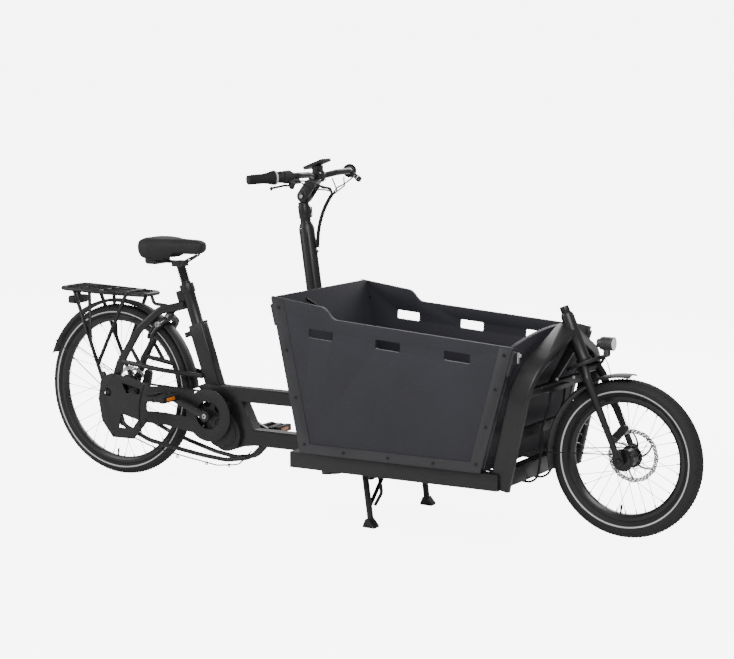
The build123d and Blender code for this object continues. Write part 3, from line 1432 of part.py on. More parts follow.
def build_nodes():
    """Every node of the bicycle in bike axes, by name."""
    nodes = {
        "mast": mast(),
        "frame_rails": frame_rails(),
        "motor": motor(),
        "rear_triangle": rear_triangle(),
        "sill_frame": sill_frame(),
        "front_arches": front_arches(),
        "column_tube": column_tube(),
        "box_sides": group(box_sides()),
        "box_ends": group(box_ends()),
        "box_floor": box_floor(),
        "box_trims": group(box_trims()),
        "box_bolts": group(box_bolts()),
        "rear_fender": rear_fender(),
        "rack": rack(),
        "tail_light": tail_light(),
        "ring_lock": ring_lock(),
        "lock_bolt": lock_bolt(),
        "chain_guard": chain_guard(),
        "chain": chain(),
        "rear_caliper": rear_caliper(),
        "rear_axle": rear_axle(),
        "frame_cables": group(frame_cables()),
        "rear_hub": rear_hub(),
        "rear_rim": valved_rim(0, rear_axle_z, rear_bead_r),
        "rear_tyre": tyre(0, rear_axle_z, rear_tyre_r, rear_tyre_width, rear_bead_r),
        "rear_spokes": group(spokes(0, rear_axle_z, rear_flange_r, rear_hub_left, rear_hub_right, rear_bead_r,
                                    lock_deg + 180.0 / spoke_count)),
        "rear_rotor": rotor(0, rear_axle_z, rear_rotor_r, rear_rotor_y, 22),
        "sprocket": sprocket(),
        "chainring": chainring(),
        "cranks": cranks(),
        "pedal_left": pedal(1),
        "pedal_right": pedal(-1),
        "fork": fork_with_lamp_eye(),
        "front_axle": front_axle(),
        "front_fender": front_fender(),
        "front_caliper": front_caliper(),
        "cable_sector": cable_sector(),
        "headlight": headlight(),
        "front_hub": front_hub(),
        "front_rim": valved_rim(wheelbase, front_axle_z, front_bead_r),
        "front_tyre": tyre(wheelbase, front_axle_z, front_tyre_r, front_tyre_width, front_bead_r),
        "front_spokes": group(spokes(wheelbase, front_axle_z, front_flange_r, front_hub_left, front_hub_right,
                                     front_bead_r, 0.0)),
        "front_rotor": rotor(wheelbase, front_axle_z, front_rotor_r, front_rotor_y, 22),
        "steering_shaft": steering_shaft(),
        "stem": stem(),
        "handlebar": handlebar(),
        "grips": group(grips()),
        "shifter": shifter(),
        "lever_mounts": group(lever_mounts()),
        "brake_lever_left": brake_lever(1),
        "brake_lever_right": brake_lever(-1),
        "display": display(),
        "bar_hoses": group(bar_hoses()),
        "cable_sleeve": cable_sleeve(),
        "seatpost": seatpost(),
        "seatpost_boot": seatpost_boot(),
        "saddle_frame": saddle_frame(),
        "saddle": saddle(),
        "stand": stand(),
        "battery_key": battery_key(),
    }
    return nodes


def place_on_ground(nodes):
    """Tip every node onto rear tyre and stand, with the origin below the middle of the whole."""
    tip = Rot(0, -math.degrees(ground_slope()), 0)
    tipped = {name: tip * shape for name, shape in nodes.items()}
    boxes = [shape.bounding_box() for shape in tipped.values()]
    low = [min(getattr(b.min, axis) for b in boxes) for axis in "XYZ"]
    high = [max(getattr(b.max, axis) for b in boxes) for axis in "XYZ"]
    shift = Pos(-(low[0] + high[0]) / 2, -(low[1] + high[1]) / 2, -low[2])
    return {name: shift * shape for name, shape in tipped.items()}, shift * tip


def main():
    os.makedirs("parts", exist_ok=True)
    placed, _ = place_on_ground(build_nodes())
    for name, shape in placed.items():
        export_step(shape, f"parts/{name}.step")
    print(len(placed), "nodes written")


if __name__ == "__main__":
    main()
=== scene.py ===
import json
import math

import bmesh
import bpy
from mathutils import Matrix, Vector


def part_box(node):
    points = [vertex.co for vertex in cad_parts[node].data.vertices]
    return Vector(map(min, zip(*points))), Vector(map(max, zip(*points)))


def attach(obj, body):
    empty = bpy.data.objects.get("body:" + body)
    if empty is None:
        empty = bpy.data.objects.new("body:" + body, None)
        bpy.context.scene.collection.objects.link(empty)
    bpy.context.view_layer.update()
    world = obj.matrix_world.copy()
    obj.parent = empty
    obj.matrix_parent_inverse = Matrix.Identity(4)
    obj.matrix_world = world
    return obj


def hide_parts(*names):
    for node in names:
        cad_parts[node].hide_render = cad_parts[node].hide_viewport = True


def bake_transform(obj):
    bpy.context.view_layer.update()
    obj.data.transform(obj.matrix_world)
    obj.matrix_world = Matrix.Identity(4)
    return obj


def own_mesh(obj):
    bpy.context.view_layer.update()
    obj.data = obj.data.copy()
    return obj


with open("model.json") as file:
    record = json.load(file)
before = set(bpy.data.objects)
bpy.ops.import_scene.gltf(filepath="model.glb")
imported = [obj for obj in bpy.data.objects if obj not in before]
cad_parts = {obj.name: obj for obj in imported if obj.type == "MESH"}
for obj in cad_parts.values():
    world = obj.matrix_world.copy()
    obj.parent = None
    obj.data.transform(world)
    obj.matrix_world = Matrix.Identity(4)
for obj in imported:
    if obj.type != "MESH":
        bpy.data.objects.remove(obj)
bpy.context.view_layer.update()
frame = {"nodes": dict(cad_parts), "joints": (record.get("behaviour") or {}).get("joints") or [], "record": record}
record = frame["record"]
joints = {joint["name"]: joint for joint in frame["joints"]}
MM = 0.001


# ---- The bicycle's own axes --------------------------------------------------------------
def joint_place(name):
    """Where a joint sits."""
    return Vector(joints[name]["pos_m"])


def joint_axis(name):
    """The direction of a joint's axis."""
    return Vector(joints[name]["axis"]).normalized()


def half_height(node):
    """Half the height of a node's box."""
    low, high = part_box(node)
    return (high.z - low.z) / 2


rear_hub_at = joint_place("rear_wheel_spin")
front_hub_at = joint_place("front_wheel_spin")
rear_tyre_r = half_height("rear_tyre")
front_tyre_r = half_height("front_tyre")
axle_run = front_hub_at - rear_hub_at
nose_up = math.atan2(axle_run.z, axle_run.x) + math.asin((rear_tyre_r - front_tyre_r) / axle_run.length)
AHEAD = Vector((math.cos(nose_up), 0, math.sin(nose_up)))
LEFT = Vector((0, 1, 0))
UP = Vector((-math.sin(nose_up), 0, math.cos(nose_up)))


def at(x, y, z):
    """Millimetres ahead of, left of and above the spot under the rear axle, in bike axes."""
    return rear_hub_at + AHEAD * (x * MM) + LEFT * (y * MM) + UP * (z * MM - rear_tyre_r)


def way(x, y, z):
    """A direction given in bike axes."""
    return (AHEAD * x + LEFT * y + UP * z).normalized()


# ---- Wiring nodes ------------------------------------------------------------------------
class Value:
    """A node's output that ordinary arithmetic works on."""

    def __init__(self, wiring, socket):
        self.wiring = wiring
        self.socket = socket

    def math(self, operation, *others):
        values = dict(enumerate((self,) + others))
        return self.wiring.node("ShaderNodeMath", {"operation": operation}, values)

    def __add__(self, other):
        return self.math("ADD", other)

    __radd__ = __add__

    def __sub__(self, other):
        return self.math("SUBTRACT", other)

    def __rsub__(self, other):
        return (self * -1.0) + other

    def __mul__(self, other):
        return self.math("MULTIPLY", other)

    __rmul__ = __mul__

    def __truediv__(self, other):
        return self.math("DIVIDE", other)

    def __pow__(self, other):
        return self.math("POWER", other)


class Wiring:
    """A node tree, and one way to add any node to it."""

    def __init__(self, tree):
        self.tree = tree

    def node(self, kind, settings=(), values=(), out=0):
        made = self.tree.nodes.new(kind)
        for key, setting in dict(settings).items():
            if key == "stops":
                ramp = made.color_ramp
                while len(ramp.elements) < len(setting):
                    ramp.elements.new(0.5)
                for element, (place, shade) in zip(ramp.elements, setting):
                    element.position = place
                    element.color = (shade, shade, shade, 1)
            else:
                setattr(made, key, setting)
        for key, value in dict(values).items():
            if isinstance(value, Value):
                self.tree.links.new(value.socket, made.inputs[key])
            else:
                made.inputs[key].default_value = value
        return Value(self, made.outputs[out])


class Finish(Wiring):
    """One material on one Principled shader."""

    def __init__(self, name, colour, roughness, metallic=0.0, coat=0.0, **fixed):
        self.material = bpy.data.materials.new(name)
        self.material.use_nodes = True
        super().__init__(self.material.node_tree)
        self.shader = self.tree.nodes["Principled BSDF"]
        self.colour = colour
        self.roughness = roughness
        self.set("Base Color", (*colour, 1))
        self.set("Roughness", roughness)
        self.set("Metallic", metallic)
        self.set("Coat Weight", coat)
        for socket, value in fixed.items():
            self.set(socket.replace("_", " "), value)

    def set(self, socket, value):
        if isinstance(value, Value):
            self.tree.links.new(value.socket, self.shader.inputs[socket])
        else:
            self.shader.inputs[socket].default_value = value

    def place(self):
        """Object coordinates, which are metres in the bicycle's frame."""
        return self.node("ShaderNodeTexCoord", out=3)

    def noise(self, scale, detail=2.0, vector=None, out=0):
        values = {"Vector": vector or self.place(), "Scale": scale, "Detail": detail}
        return self.node("ShaderNodeTexNoise", {}, values, out)

    def ramp(self, value, *stops):
        """A value bent through dark-to-light stops."""
        return self.node("ShaderNodeValToRGB", {"stops": stops}, {"Fac": value})

    def mix(self, share, first, second):
        """Colour between two colours."""
        values = {0: share, 6: first, 7: second}
        return self.node("ShaderNodeMix", {"data_type": "RGBA"}, values, 2)

    def spread(self, point):
        """The three parts of a point."""
        made = self.tree.nodes.new("ShaderNodeSeparateXYZ")
        self.tree.links.new(point.socket, made.inputs[0])
        return [Value(self, made.outputs[i]) for i in range(3)]

    def bumps(self, height, depth_mm, strength=1.0):
        """Relief of that depth on the surface."""
        values = {"Height": height, "Distance": depth_mm * MM, "Strength": strength}
        self.set("Normal", self.node("ShaderNodeBump", {}, values))

    def shades(self, share, spread=0.25):
        """Base colour that wanders a little lighter and darker."""
        dark = tuple(c * (1 - spread) for c in self.colour) + (1,)
        light = tuple(min(1.0, c * (1 + spread)) for c in self.colour) + (1,)
        self.set("Base Color", self.mix(share, dark, light))


def powder_coat(name, colour, roughness, grain=1500.0, depth=0.03):
    """Fine-grained satin coating with slow changes of gloss, and faint dust."""
    finish = Finish(name, colour, roughness, Specular_IOR_Level=0.45)
    slow = finish.noise(6.0, 4.0)
    fine = finish.noise(grain, 3.0)
    finish.set("Roughness", roughness + (slow - 0.5) * 0.22 + (fine - 0.5) * 0.1)
    finish.shades(finish.ramp(slow, (0.3, 0.0), (0.7, 1.0)), 0.14)
    finish.bumps(fine, depth)
    return finish.material


def board(name, colour):
    """Coated board: very fine pebbled film with soft rubbed patches."""
    finish = Finish(name, colour, 0.62, Specular_IOR_Level=0.35)
    values = {"Vector": finish.place(), "Scale": 1100.0}
    pebble = finish.node("ShaderNodeTexVoronoi", {"feature": "F1"}, values)
    patches = finish.noise(3.2, 5.0)
    finish.set("Roughness", 0.5 + patches * 0.2 + pebble * 0.08)
    finish.shades(finish.ramp(patches, (0.32, 0.0), (0.68, 1.0)), 0.1)
    finish.bumps(pebble, 0.05)
    return finish.material


def moulded(name, colour, roughness=0.5, grain=700.0):
    """Moulded plastic with a light spark-eroded texture."""
    finish = Finish(name, colour, roughness, Specular_IOR_Level=0.45)
    fine = finish.noise(grain, 2.0)
    slow = finish.noise(9.0, 3.0)
    finish.set("Roughness", roughness - 0.06 + fine * 0.1 + slow * 0.08)
    finish.shades(slow, 0.12)
    finish.bumps(fine, 0.04)
    return finish.material


def brushed(name, colour, roughness, along=(1.0, 40.0, 1.0), metallic=1.0):
    """Metal with fine drawn lines and slightly uneven polish."""
    finish = Finish(name, colour, roughness, metallic)
    stretched = finish.node("ShaderNodeMapping", {}, {"Vector": finish.place(), "Scale": along})
    lines = finish.noise(260.0, 3.0, stretched)
    cloud = finish.noise(14.0, 3.0)
    finish.set("Roughness", roughness - 0.08 + lines * 0.16 + cloud * 0.08)
    finish.shades(lines, 0.16)
    finish.bumps(lines, 0.01)
    return finish.material


def rubber(name, colour, roughness=0.75, grain=420.0):
    """Dull rubber with a bloom of dust."""
    finish = Finish(name, colour, roughness, Specular_IOR_Level=0.3)
    dust = finish.noise(18.0, 5.0)
    fine = finish.noise(grain, 2.0)
    finish.set("Roughness", roughness - 0.05 + dust * 0.18)
    finish.shades(finish.ramp(dust, (0.35, 0.0), (0.75, 1.0)), 0.3)
    finish.bumps(fine, 0.06)
    return finish.material


def tyre_rubber(name, hub, stripe_r, stripe_half):
    """Tyre with a reflective ring on each wall, fine moulding rings and a ribbed edge."""
    finish = Finish(name, (0.017, 0.017, 0.018), 0.66, Specular_IOR_Level=0.35)
    centred = finish.node("ShaderNodeVectorMath", {"operation": "SUBTRACT"},
                          {0: finish.place(), 1: tuple(hub)})
    x, _, z = finish.spread(centred)
    radius = ((x * x + z * z) ** 0.5) * 1000.0
    off = (radius - stripe_r).math("ABSOLUTE")
    stripe = (stripe_half - off).math("DIVIDE", 0.35).math("MAXIMUM", 0.0).math("MINIMUM", 1.0)
    glass_beads = finish.noise(900.0, 2.0)
    dust = finish.noise(22.0, 5.0)
    black = finish.mix(dust, (0.011, 0.011, 0.012, 1), (0.026, 0.026, 0.027, 1))
    silver = finish.mix(glass_beads, (0.42, 0.43, 0.44, 1), (0.70, 0.71, 0.72, 1))
    finish.set("Base Color", finish.mix(stripe, black, silver))
    finish.set("Roughness", 0.62 + dust * 0.16 - stripe * 0.2)
    rings = (radius * 1.9).math("SINE") * 0.25
    finish.bumps(rings + dust * 0.4 + stripe * 0.6, 0.12)
    return finish.material


def disc_steel(name, hub):
    """Brake disc steel with grinding marks round the hub."""
    finish = Finish(name, (0.52, 0.52, 0.53), 0.27, 1.0)
    centred = finish.node("ShaderNodeVectorMath", {"operation": "SUBTRACT"},
                          {0: finish.place(), 1: tuple(hub)})
    x, _, z = finish.spread(centred)
    radius = ((x * x + z * z) ** 0.5) * 1000.0
    marks = finish.noise(1.0, 4.0, finish.node("ShaderNodeCombineXYZ", {}, {0: radius * 4.0}))
    finish.set("Roughness", 0.2 + marks * 0.22)
    finish.shades(marks, 0.22)
    finish.bumps(marks, 0.02)
    return finish.material


def saddle_cloth(name):
    """Textured saddle cover with a fine hexagon-like press."""
    finish = Finish(name, (0.016, 0.016, 0.017), 0.6, Specular_IOR_Level=0.4)
    cells = finish.node("ShaderNodeTexVoronoi", {"feature": "DISTANCE_TO_EDGE"},
                        {"Vector": finish.place(), "Scale": 520.0})
    slow = finish.noise(14.0, 4.0)
    finish.set("Roughness", 0.5 + slow * 0.22)
    finish.shades(slow, 0.2)
    finish.bumps(cells.math("MINIMUM", 0.12) * 6.0, 0.12)
    return finish.material


def lens(name, colour, glow=(0, 0, 0), strength=0.0):
    """Ribbed light lens."""
    finish = Finish(name, colour, 0.14, coat=0.6, Emission_Strength=strength)
    finish.set("Emission Color", (*glow, 1))
    prisms = finish.noise(420.0, 1.0)
    _, y, z = finish.spread(finish.place())
    ribs = (y * 1400.0).math("SINE") * (z * 1400.0).math("SINE")
    finish.set("Roughness", 0.1 + prisms * 0.12)
    finish.shades(prisms, 0.2)
    finish.bumps(ribs, 0.25)
    return finish.material


FRAME = powder_coat("satin black coating", (0.0135, 0.0135, 0.0145), 0.36)
STEEL_BLACK = powder_coat("black plated steel", (0.014, 0.014, 0.015), 0.34, 900.0, 0.02)
PANEL = board("charcoal board", (0.029, 0.029, 0.036))
PANEL_EDGE = powder_coat("edge profile", (0.030, 0.030, 0.033), 0.42)
PLASTIC = moulded("black moulding", (0.014, 0.014, 0.015))
GLOSS = moulded("glossy black moulding", (0.010, 0.010, 0.011), 0.2, 300.0)
RUBBER = rubber("black rubber", (0.014, 0.014, 0.014))
HOSE = rubber("hose cover", (0.012, 0.012, 0.012), 0.45)
SADDLE = saddle_cloth("saddle cover")
REAR_TYRE = tyre_rubber("rear tyre rubber", rear_hub_at, 298.0, 2.6)
FRONT_TYRE = tyre_rubber("front tyre rubber", front_hub_at, 226.0, 2.6)
RIM = powder_coat("anodised rim", (0.016, 0.016, 0.017), 0.3, 1800.0, 0.01)
REAR_DISC = disc_steel("rear disc steel", rear_hub_at)
FRONT_DISC = disc_steel("front disc steel", front_hub_at)
STAINLESS = brushed("stainless wire", (0.55, 0.55, 0.56), 0.25)
BOLT = brushed("zinc bolt", (0.62, 0.62, 0.63), 0.3)
ALU = brushed("grey alloy", (0.34, 0.34, 0.35), 0.38)
CHAIN = brushed("oiled chain steel", (0.10, 0.095, 0.09), 0.42)
RED_LENS = lens("red lens", (0.30, 0.008, 0.010))
DARK_BOLT = brushed("blackened bolt", (0.045, 0.045, 0.048), 0.34)
LAMP_GREY = moulded("grey lamp shell", (0.055, 0.055, 0.058), 0.28)
SPOKE = brushed("dark spoke wire", (0.09, 0.09, 0.095), 0.32)
CLEAR_LENS = lens("clear lens", (0.75, 0.77, 0.80), (1.0, 0.98, 0.94), 0.12)
AMBER = lens("amber reflector", (0.75, 0.19, 0.01))
WHITE = moulded("white ring", (0.62, 0.62, 0.60), 0.4)
SCREEN = moulded("screen glass", (0.006, 0.007, 0.009), 0.08, 60.0)


# ---- Making and placing pieces -----------------------------------------------------------
body_of = {node: body for body, nodes in record["behaviour"]["bodies"].items() for node in nodes}


def linked(name, data):
    """A new object in the scene."""
    piece = bpy.data.objects.new(name.replace(" ", "_"), data)
    bpy.context.scene.collection.objects.link(piece)
    return piece


def painted(piece, finish):
    """The piece with one finish all over."""
    piece.data.materials.clear()
    piece.data.materials.append(finish)
    return piece


def smoothed(piece, degrees=32):
    """Smooth shading, with edges kept where the surface turns sharply."""
    piece.data.shade_smooth()
    piece.data.set_sharp_from_angle(angle=math.radians(degrees))
    return piece


def baked(piece):
    """The piece as a plain mesh, with its modifiers worked out."""
    graph = bpy.context.evaluated_depsgraph_get()
    mesh = bpy.data.meshes.new_from_object(piece.evaluated_get(graph), depsgraph=graph)
    name = piece.name
    bpy.data.objects.remove(piece)
    return linked(name, mesh)


def from_bmesh(name, shape, finish, degrees=32):
    """A finished piece from a bmesh, with doubles merged and faces outwards."""
    bmesh.ops.remove_doubles(shape, verts=shape.verts, dist=1e-6)
    bmesh.ops.recalc_face_normals(shape, faces=shape.faces)
    mesh = bpy.data.meshes.new(name)
    shape.to_mesh(mesh)
    shape.free()
    return smoothed(painted(linked(name, mesh), finish), degrees)


def stands_for(piece, *nodes):
    """The piece moves with these CAD nodes' body and is shown in their place."""
    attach(piece, body_of[nodes[0]])
    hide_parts(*nodes)
    return piece


def goes_with(piece, node):
    """The piece is an extra detail that moves with a CAD node's body."""
    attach(piece, body_of[node])
    return piece


def rounded_copy(node, finish, edge_mm=0.8, degrees=32, cover_mm=0.0):
    """A CAD node's shape with its edges rounded, standing for it."""
    mesh = frame["nodes"][node].data.copy()
    piece = painted(linked("rounded " + node.replace("_", " "), mesh), finish)
    shape = bmesh.new()
    shape.from_mesh(mesh)
    bmesh.ops.remove_doubles(shape, verts=shape.verts, dist=2e-6)
    bmesh.ops.dissolve_limit(shape, angle_limit=math.radians(0.4), verts=shape.verts, edges=shape.edges)
    shape.to_mesh(mesh)
    shape.free()
    bevel = piece.modifiers.new("rounded edges", "BEVEL")
    bevel.width = edge_mm * MM
    bevel.segments = 2
    bevel.limit_method = "ANGLE"
    bevel.angle_limit = math.radians(degrees)
    bevel.harden_normals = False
    piece = smoothed(baked(piece), degrees)
    for vert in piece.data.vertices if cover_mm else ():
        vert.co += vert.normal * (cover_mm * MM)
    return stands_for(piece, node)


def tube(name, route, radius_mm, finish, steps=10, sides=4):
    """A hose or wire along a smooth line."""
    curve = bpy.data.curves.new(name, "CURVE")
    curve.dimensions = "3D"
    curve.bevel_depth = radius_mm * MM
    curve.bevel_resolution = sides
    curve.resolution_u = steps
    curve.use_fill_caps = True
    spline = curve.splines.new("NURBS")
    spline.points.add(len(route) - 1)
    for point, spot in zip(spline.points, route):
        point.co = (*spot, 1)
    spline.order_u = 3
    spline.use_endpoint_u = True
    return painted(smoothed(baked(linked(name, curve)), 60), finish)


def lathe(name, centre, axis, profile, finish, steps=72, loop=False, degrees=30):
    """A turned piece; the profile gives millimetres along the axis and out from it."""
    axis = axis.normalized()
    side = axis.orthogonal().normalized()
    other = axis.cross(side)
    shape = bmesh.new()
    rings = []
    for i in range(steps):
        turn = math.tau * i / steps
        out = side * math.cos(turn) + other * math.sin(turn)
        rings.append([shape.verts.new(centre + axis * (a * MM) + out * (r * MM)) for a, r in profile])
    spans = len(profile) if loop else len(profile) - 1
    for i in range(steps):
        here, there = rings[i], rings[(i + 1) % steps]
        for j in range(spans):
            k = (j + 1) % len(profile)
            shape.faces.new((here[j], here[k], there[k], there[j]))
    return from_bmesh(name, shape, finish, degrees)


def round_box(name, centre, axes, sides_mm, round_mm, finish, segments=3):
    """A block with rounded edges, along three axes."""
    shape = bmesh.new()
    turn = Matrix([[axis[i] for axis in axes] for i in range(3)]).to_4x4()
    scale = Matrix.Diagonal((*[side * MM for side in sides_mm], 1))
    bmesh.ops.create_cube(shape, size=1.0, matrix=Matrix.Translation(centre) @ turn @ scale)
    bmesh.ops.bevel(shape, geom=shape.edges[:], offset=round_mm * MM, segments=segments, profile=0.5,
                    affect="EDGES")
    return from_bmesh(name, shape, finish)


def cut_plate(name, outlines, thickness_mm, centre, across, upwards, finish, edge_mm=0.3):
    """A flat plate cut to closed outlines in millimetres; inner outlines are holes."""
    curve = bpy.data.curves.new(name, "CURVE")
    curve.dimensions = "2D"
    curve.fill_mode = "BOTH"
    curve.extrude = (thickness_mm / 2 - edge_mm) * MM
    curve.bevel_depth = edge_mm * MM
    curve.offset = -edge_mm * MM
    curve.bevel_resolution = 1
    for outline in outlines:
        spline = curve.splines.new("POLY")
        spline.points.add(len(outline) - 1)
        spline.use_cyclic_u = True
        for point, (x, y) in zip(spline.points, outline):
            point.co = (x * MM, y * MM, 0, 1)
    piece = baked(linked(name, curve))
    normal = across.cross(upwards)
    turn = Matrix([[axis[i] for axis in (across, upwards, normal)] for i in range(3)]).to_4x4()
    piece.data.transform(Matrix.Translation(centre) @ turn)
    shape = bmesh.new()
    shape.from_mesh(piece.data)
    bpy.data.objects.remove(piece)
    return from_bmesh(name, shape, finish, 40)


def circle(x, y, radius, steps=20):
    """Closed outline of a circle."""
    turns = [math.tau * i / steps for i in range(steps)]
    return [(x + radius * math.cos(t), y + radius * math.sin(t)) for t in turns]


def together(name, pieces):
    """Several loose pieces of one finish or more as one object."""
    for piece in pieces:
        piece.select_set(True)
    with bpy.context.temp_override(active_object=pieces[0], selected_editable_objects=pieces):
        bpy.ops.object.join()
    pieces[0].name = name
    return pieces[0]


class Rig(Wiring):
    """A Geometry Nodes tree with named inputs, run once on an object and then baked."""

    kinds = {float: "NodeSocketFloat", int: "NodeSocketInt"}

    def __init__(self, name, sizes):
        super().__init__(bpy.data.node_groups.new(name, "GeometryNodeTree"))
        self.sizes = sizes
        self.tree.interface.new_socket("Geometry", in_out="INPUT", socket_type="NodeSocketGeometry")
        for label, value in sizes.items():
            kind = self.kinds.get(type(value))
            if isinstance(value, bpy.types.Object):
                kind = "NodeSocketObject"
            if isinstance(value, bpy.types.Material):
                kind = "NodeSocketMaterial"
            self.tree.interface.new_socket(label, in_out="INPUT", socket_type=kind)
        self.tree.interface.new_socket("Geometry", in_out="OUTPUT", socket_type="NodeSocketGeometry")
        self.entry = self.tree.nodes.new("NodeGroupInput")

    def given(self, label):
        return Value(self, self.entry.outputs[label])

    def run(self, piece, shape):
        """Ends the tree with that shape, runs it on the piece and gives a plain mesh."""
        solid = self.node("GeometryNodeRealizeInstances", {}, {0: shape})
        coated = self.node("GeometryNodeSetMaterial", {}, {0: solid, "Material": self.given("Finish")})
        self.node_out = self.tree.nodes.new("NodeGroupOutput")
        self.tree.links.new(coated.socket, self.node_out.inputs[0])
        modifier = piece.modifiers.new(self.tree.name, "NODES")
        modifier.node_group = self.tree
        for item in self.tree.interface.items_tree:
            if item.in_out == "INPUT" and item.name in self.sizes:
                modifier[item.identifier] = self.sizes[item.name]
        return baked(piece)


def copies(name, small, places, finish, size=1.0):
    """Copies of a small piece, one at each place, as one mesh."""
    mesh = bpy.data.meshes.new(name)
    mesh.from_pydata([place.translation for place in places], [], [])
    turns = mesh.attributes.new("turn", "FLOAT_VECTOR", "POINT")
    for item, place in zip(turns.data, places):
        item.vector = place.to_euler()
    rig = Rig("copies of " + small.name, {"Piece": small, "Finish": finish, "Size": size})
    stamp = rig.node("GeometryNodeObjectInfo", {}, {"Object": rig.given("Piece")}, "Geometry")
    turn = rig.node("GeometryNodeInputNamedAttribute", {"data_type": "FLOAT_VECTOR"}, {"Name": "turn"})
    placed = rig.node("GeometryNodeInstanceOnPoints", {}, {
        "Points": rig.given("Geometry"), "Instance": stamp, "Rotation": turn, "Scale": rig.given("Size")})
    piece = rig.run(linked(name, mesh), placed)
    bpy.data.objects.remove(small)
    return smoothed(piece)


def facing(spot, normal, along=None):
    """A place whose third axis points along the normal."""
    normal = normal.normalized()
    first = (along - normal * along.dot(normal)).normalized() if along else normal.orthogonal().normalized()
    second = normal.cross(first)
    turn = Matrix([[axis[i] for axis in (first, second, normal)] for i in range(3)]).to_4x4()
    return Matrix.Translation(spot) @ turn


def screw_head(radius_mm, height_mm, corners=6):
    """A low screw head with a hexagonal socket, at the origin, facing up."""
    steps = 24
    shape = bmesh.new()

    def ring(radius_at, height):
        verts = []
        for i in range(steps):
            turn = math.tau * i / steps
            reach = radius_at(turn) * MM
            verts.append(shape.verts.new((reach * math.cos(turn), reach * math.sin(turn), height * MM)))
        return verts

    def socket(turn):
        part = math.tau / corners
        return radius_mm * 0.5 * math.cos(part / 2) / math.cos(turn % part - part / 2)

    rings = [ring(lambda t: radius_mm, 0), ring(lambda t: radius_mm, height_mm * 0.62),
             ring(lambda t: radius_mm * 0.8, height_mm), ring(socket, height_mm),
             ring(socket, height_mm * 0.3)]
    for low, high in zip(rings, rings[1:]):
        for i in range(steps):
            j = (i + 1) % steps
            shape.faces.new((low[i], low[j], high[j], high[i]))
    shape.faces.new(rings[-1])
    shape.faces.new(rings[0])
    return from_bmesh("screw head", shape, BOLT)


def peg(radius_mm, height_mm, top_share=0.8, steps=8):
    """A small tapered peg at the origin, facing up."""
    profile = [(0, 0), (0, radius_mm), (height_mm, radius_mm * top_share), (height_mm, 0)]
    return lathe("peg", Vector(), Vector((0, 0, 1)), profile, BOLT, steps)


def brick(length_mm, width_mm, height_mm, top_share=0.8):
    """A small tapered block at the origin, facing up."""
    shape = bmesh.new()
    size = Matrix.Diagonal((length_mm * MM, width_mm * MM, height_mm * MM, 1))
    bmesh.ops.create_cube(shape, size=1.0, matrix=size @ Matrix.Translation((0, 0, 0.5)))
    for vert in shape.verts:
        if vert.co.z > 0:
            vert.co.x *= top_share
            vert.co.y *= top_share
    return from_bmesh("block", shape, BOLT)


# ---- Wheels ------------------------------------------------------------------------------
def wheel_spot(hub, radius_mm, degrees, y_mm):
    """A spot on a wheel: its distance from the axle, the angle up from straight ahead, and its side."""
    turn = math.radians(degrees)
    spot = hub + AHEAD * (radius_mm * MM * math.cos(turn)) + UP * (radius_mm * MM * math.sin(turn))
    return spot + LEFT * (y_mm * MM)


def outwards(degrees):
    """The direction away from the axle at an angle."""
    turn = math.radians(degrees)
    return AHEAD * math.cos(turn) + UP * math.sin(turn)


def tyre_piece(name, hub, outer_mm, bead_mm, half_mm, finish, stations):
    """Tyre casing with a stepped shoulder, and its tread blocks."""
    tread = 1.7
    middle = outer_mm - half_mm
    profile = []
    for degrees in range(-124, 125, 8):
        turn = math.radians(degrees)
        reach = half_mm - (tread if abs(degrees) <= 60 else 0.9)
        profile.append((reach * math.sin(turn), middle + reach * math.cos(turn)))
    profile += [(13.4, bead_mm + 5.5), (12.4, bead_mm + 1.0), (-12.4, bead_mm + 1.0), (-13.4, bead_mm + 5.5)]
    casing = lathe(name + " casing", hub, LEFT, profile, finish, 160, True, 26)
    places = []
    rows = ((-50, 0.5), (-32, 0.0), (-13, 0.5), (13, 0.0), (32, 0.5), (50, 0.0))
    for i in range(stations):
        for lean, shift in rows:
            degrees = 360.0 * (i + shift) / stations
            out = outwards(degrees)
            tilt = math.radians(lean)
            normal = out * math.cos(tilt) + LEFT * math.sin(tilt)
            spot = hub + out * (middle * MM) + normal * ((half_mm - tread) * MM - 0.0002)
            places.append(facing(spot, normal, LEFT + LEFT.cross(out) * (0.5 if lean > 0 else -0.5)))
    width = half_mm * 0.29
    block = brick(width, math.tau * outer_mm / stations * 0.56, tread)
    blocks = copies(name + " tread", block, places, finish)
    return casing, blocks


def rim_piece(name, hub, bead_mm):
    """Rim with rounded flanges and a softly domed inner face."""
    half, inner = 15.0, bead_mm - 17.0
    profile = [(-half + 0.5, bead_mm + 5), (-half + 2, bead_mm + 4.4), (-half + 2, bead_mm),
               (-8, bead_mm - 4), (8, bead_mm - 4), (half - 2, bead_mm), (half - 2, bead_mm + 4.4),
               (half - 0.5, bead_mm + 5), (half, bead_mm + 4), (half, bead_mm - 6), (half - 1.5, bead_mm - 9),
               (8, inner + 1), (4, inner), (-4, inner), (-8, inner + 1), (-half + 1.5, bead_mm - 9),
               (-half, bead_mm - 6), (-half, bead_mm + 4)]
    return lathe(name, hub, LEFT, profile, RIM, 144, True, 24)


def nipples(name, hub, bead_mm, count, phase):
    """Plated nipples where the spokes enter the rim."""
    places = []
    for i in range(count):
        degrees = phase + 360.0 * i / count
        out = outwards(degrees)
        side = 1 if i % 2 else -1
        spot = wheel_spot(hub, bead_mm - 16.5, degrees, side * 2.5)
        places.append(facing(spot, -out + LEFT * (side * 0.12)))
    return copies(name, peg(2.2, 11.0, 0.62), places, STAINLESS)


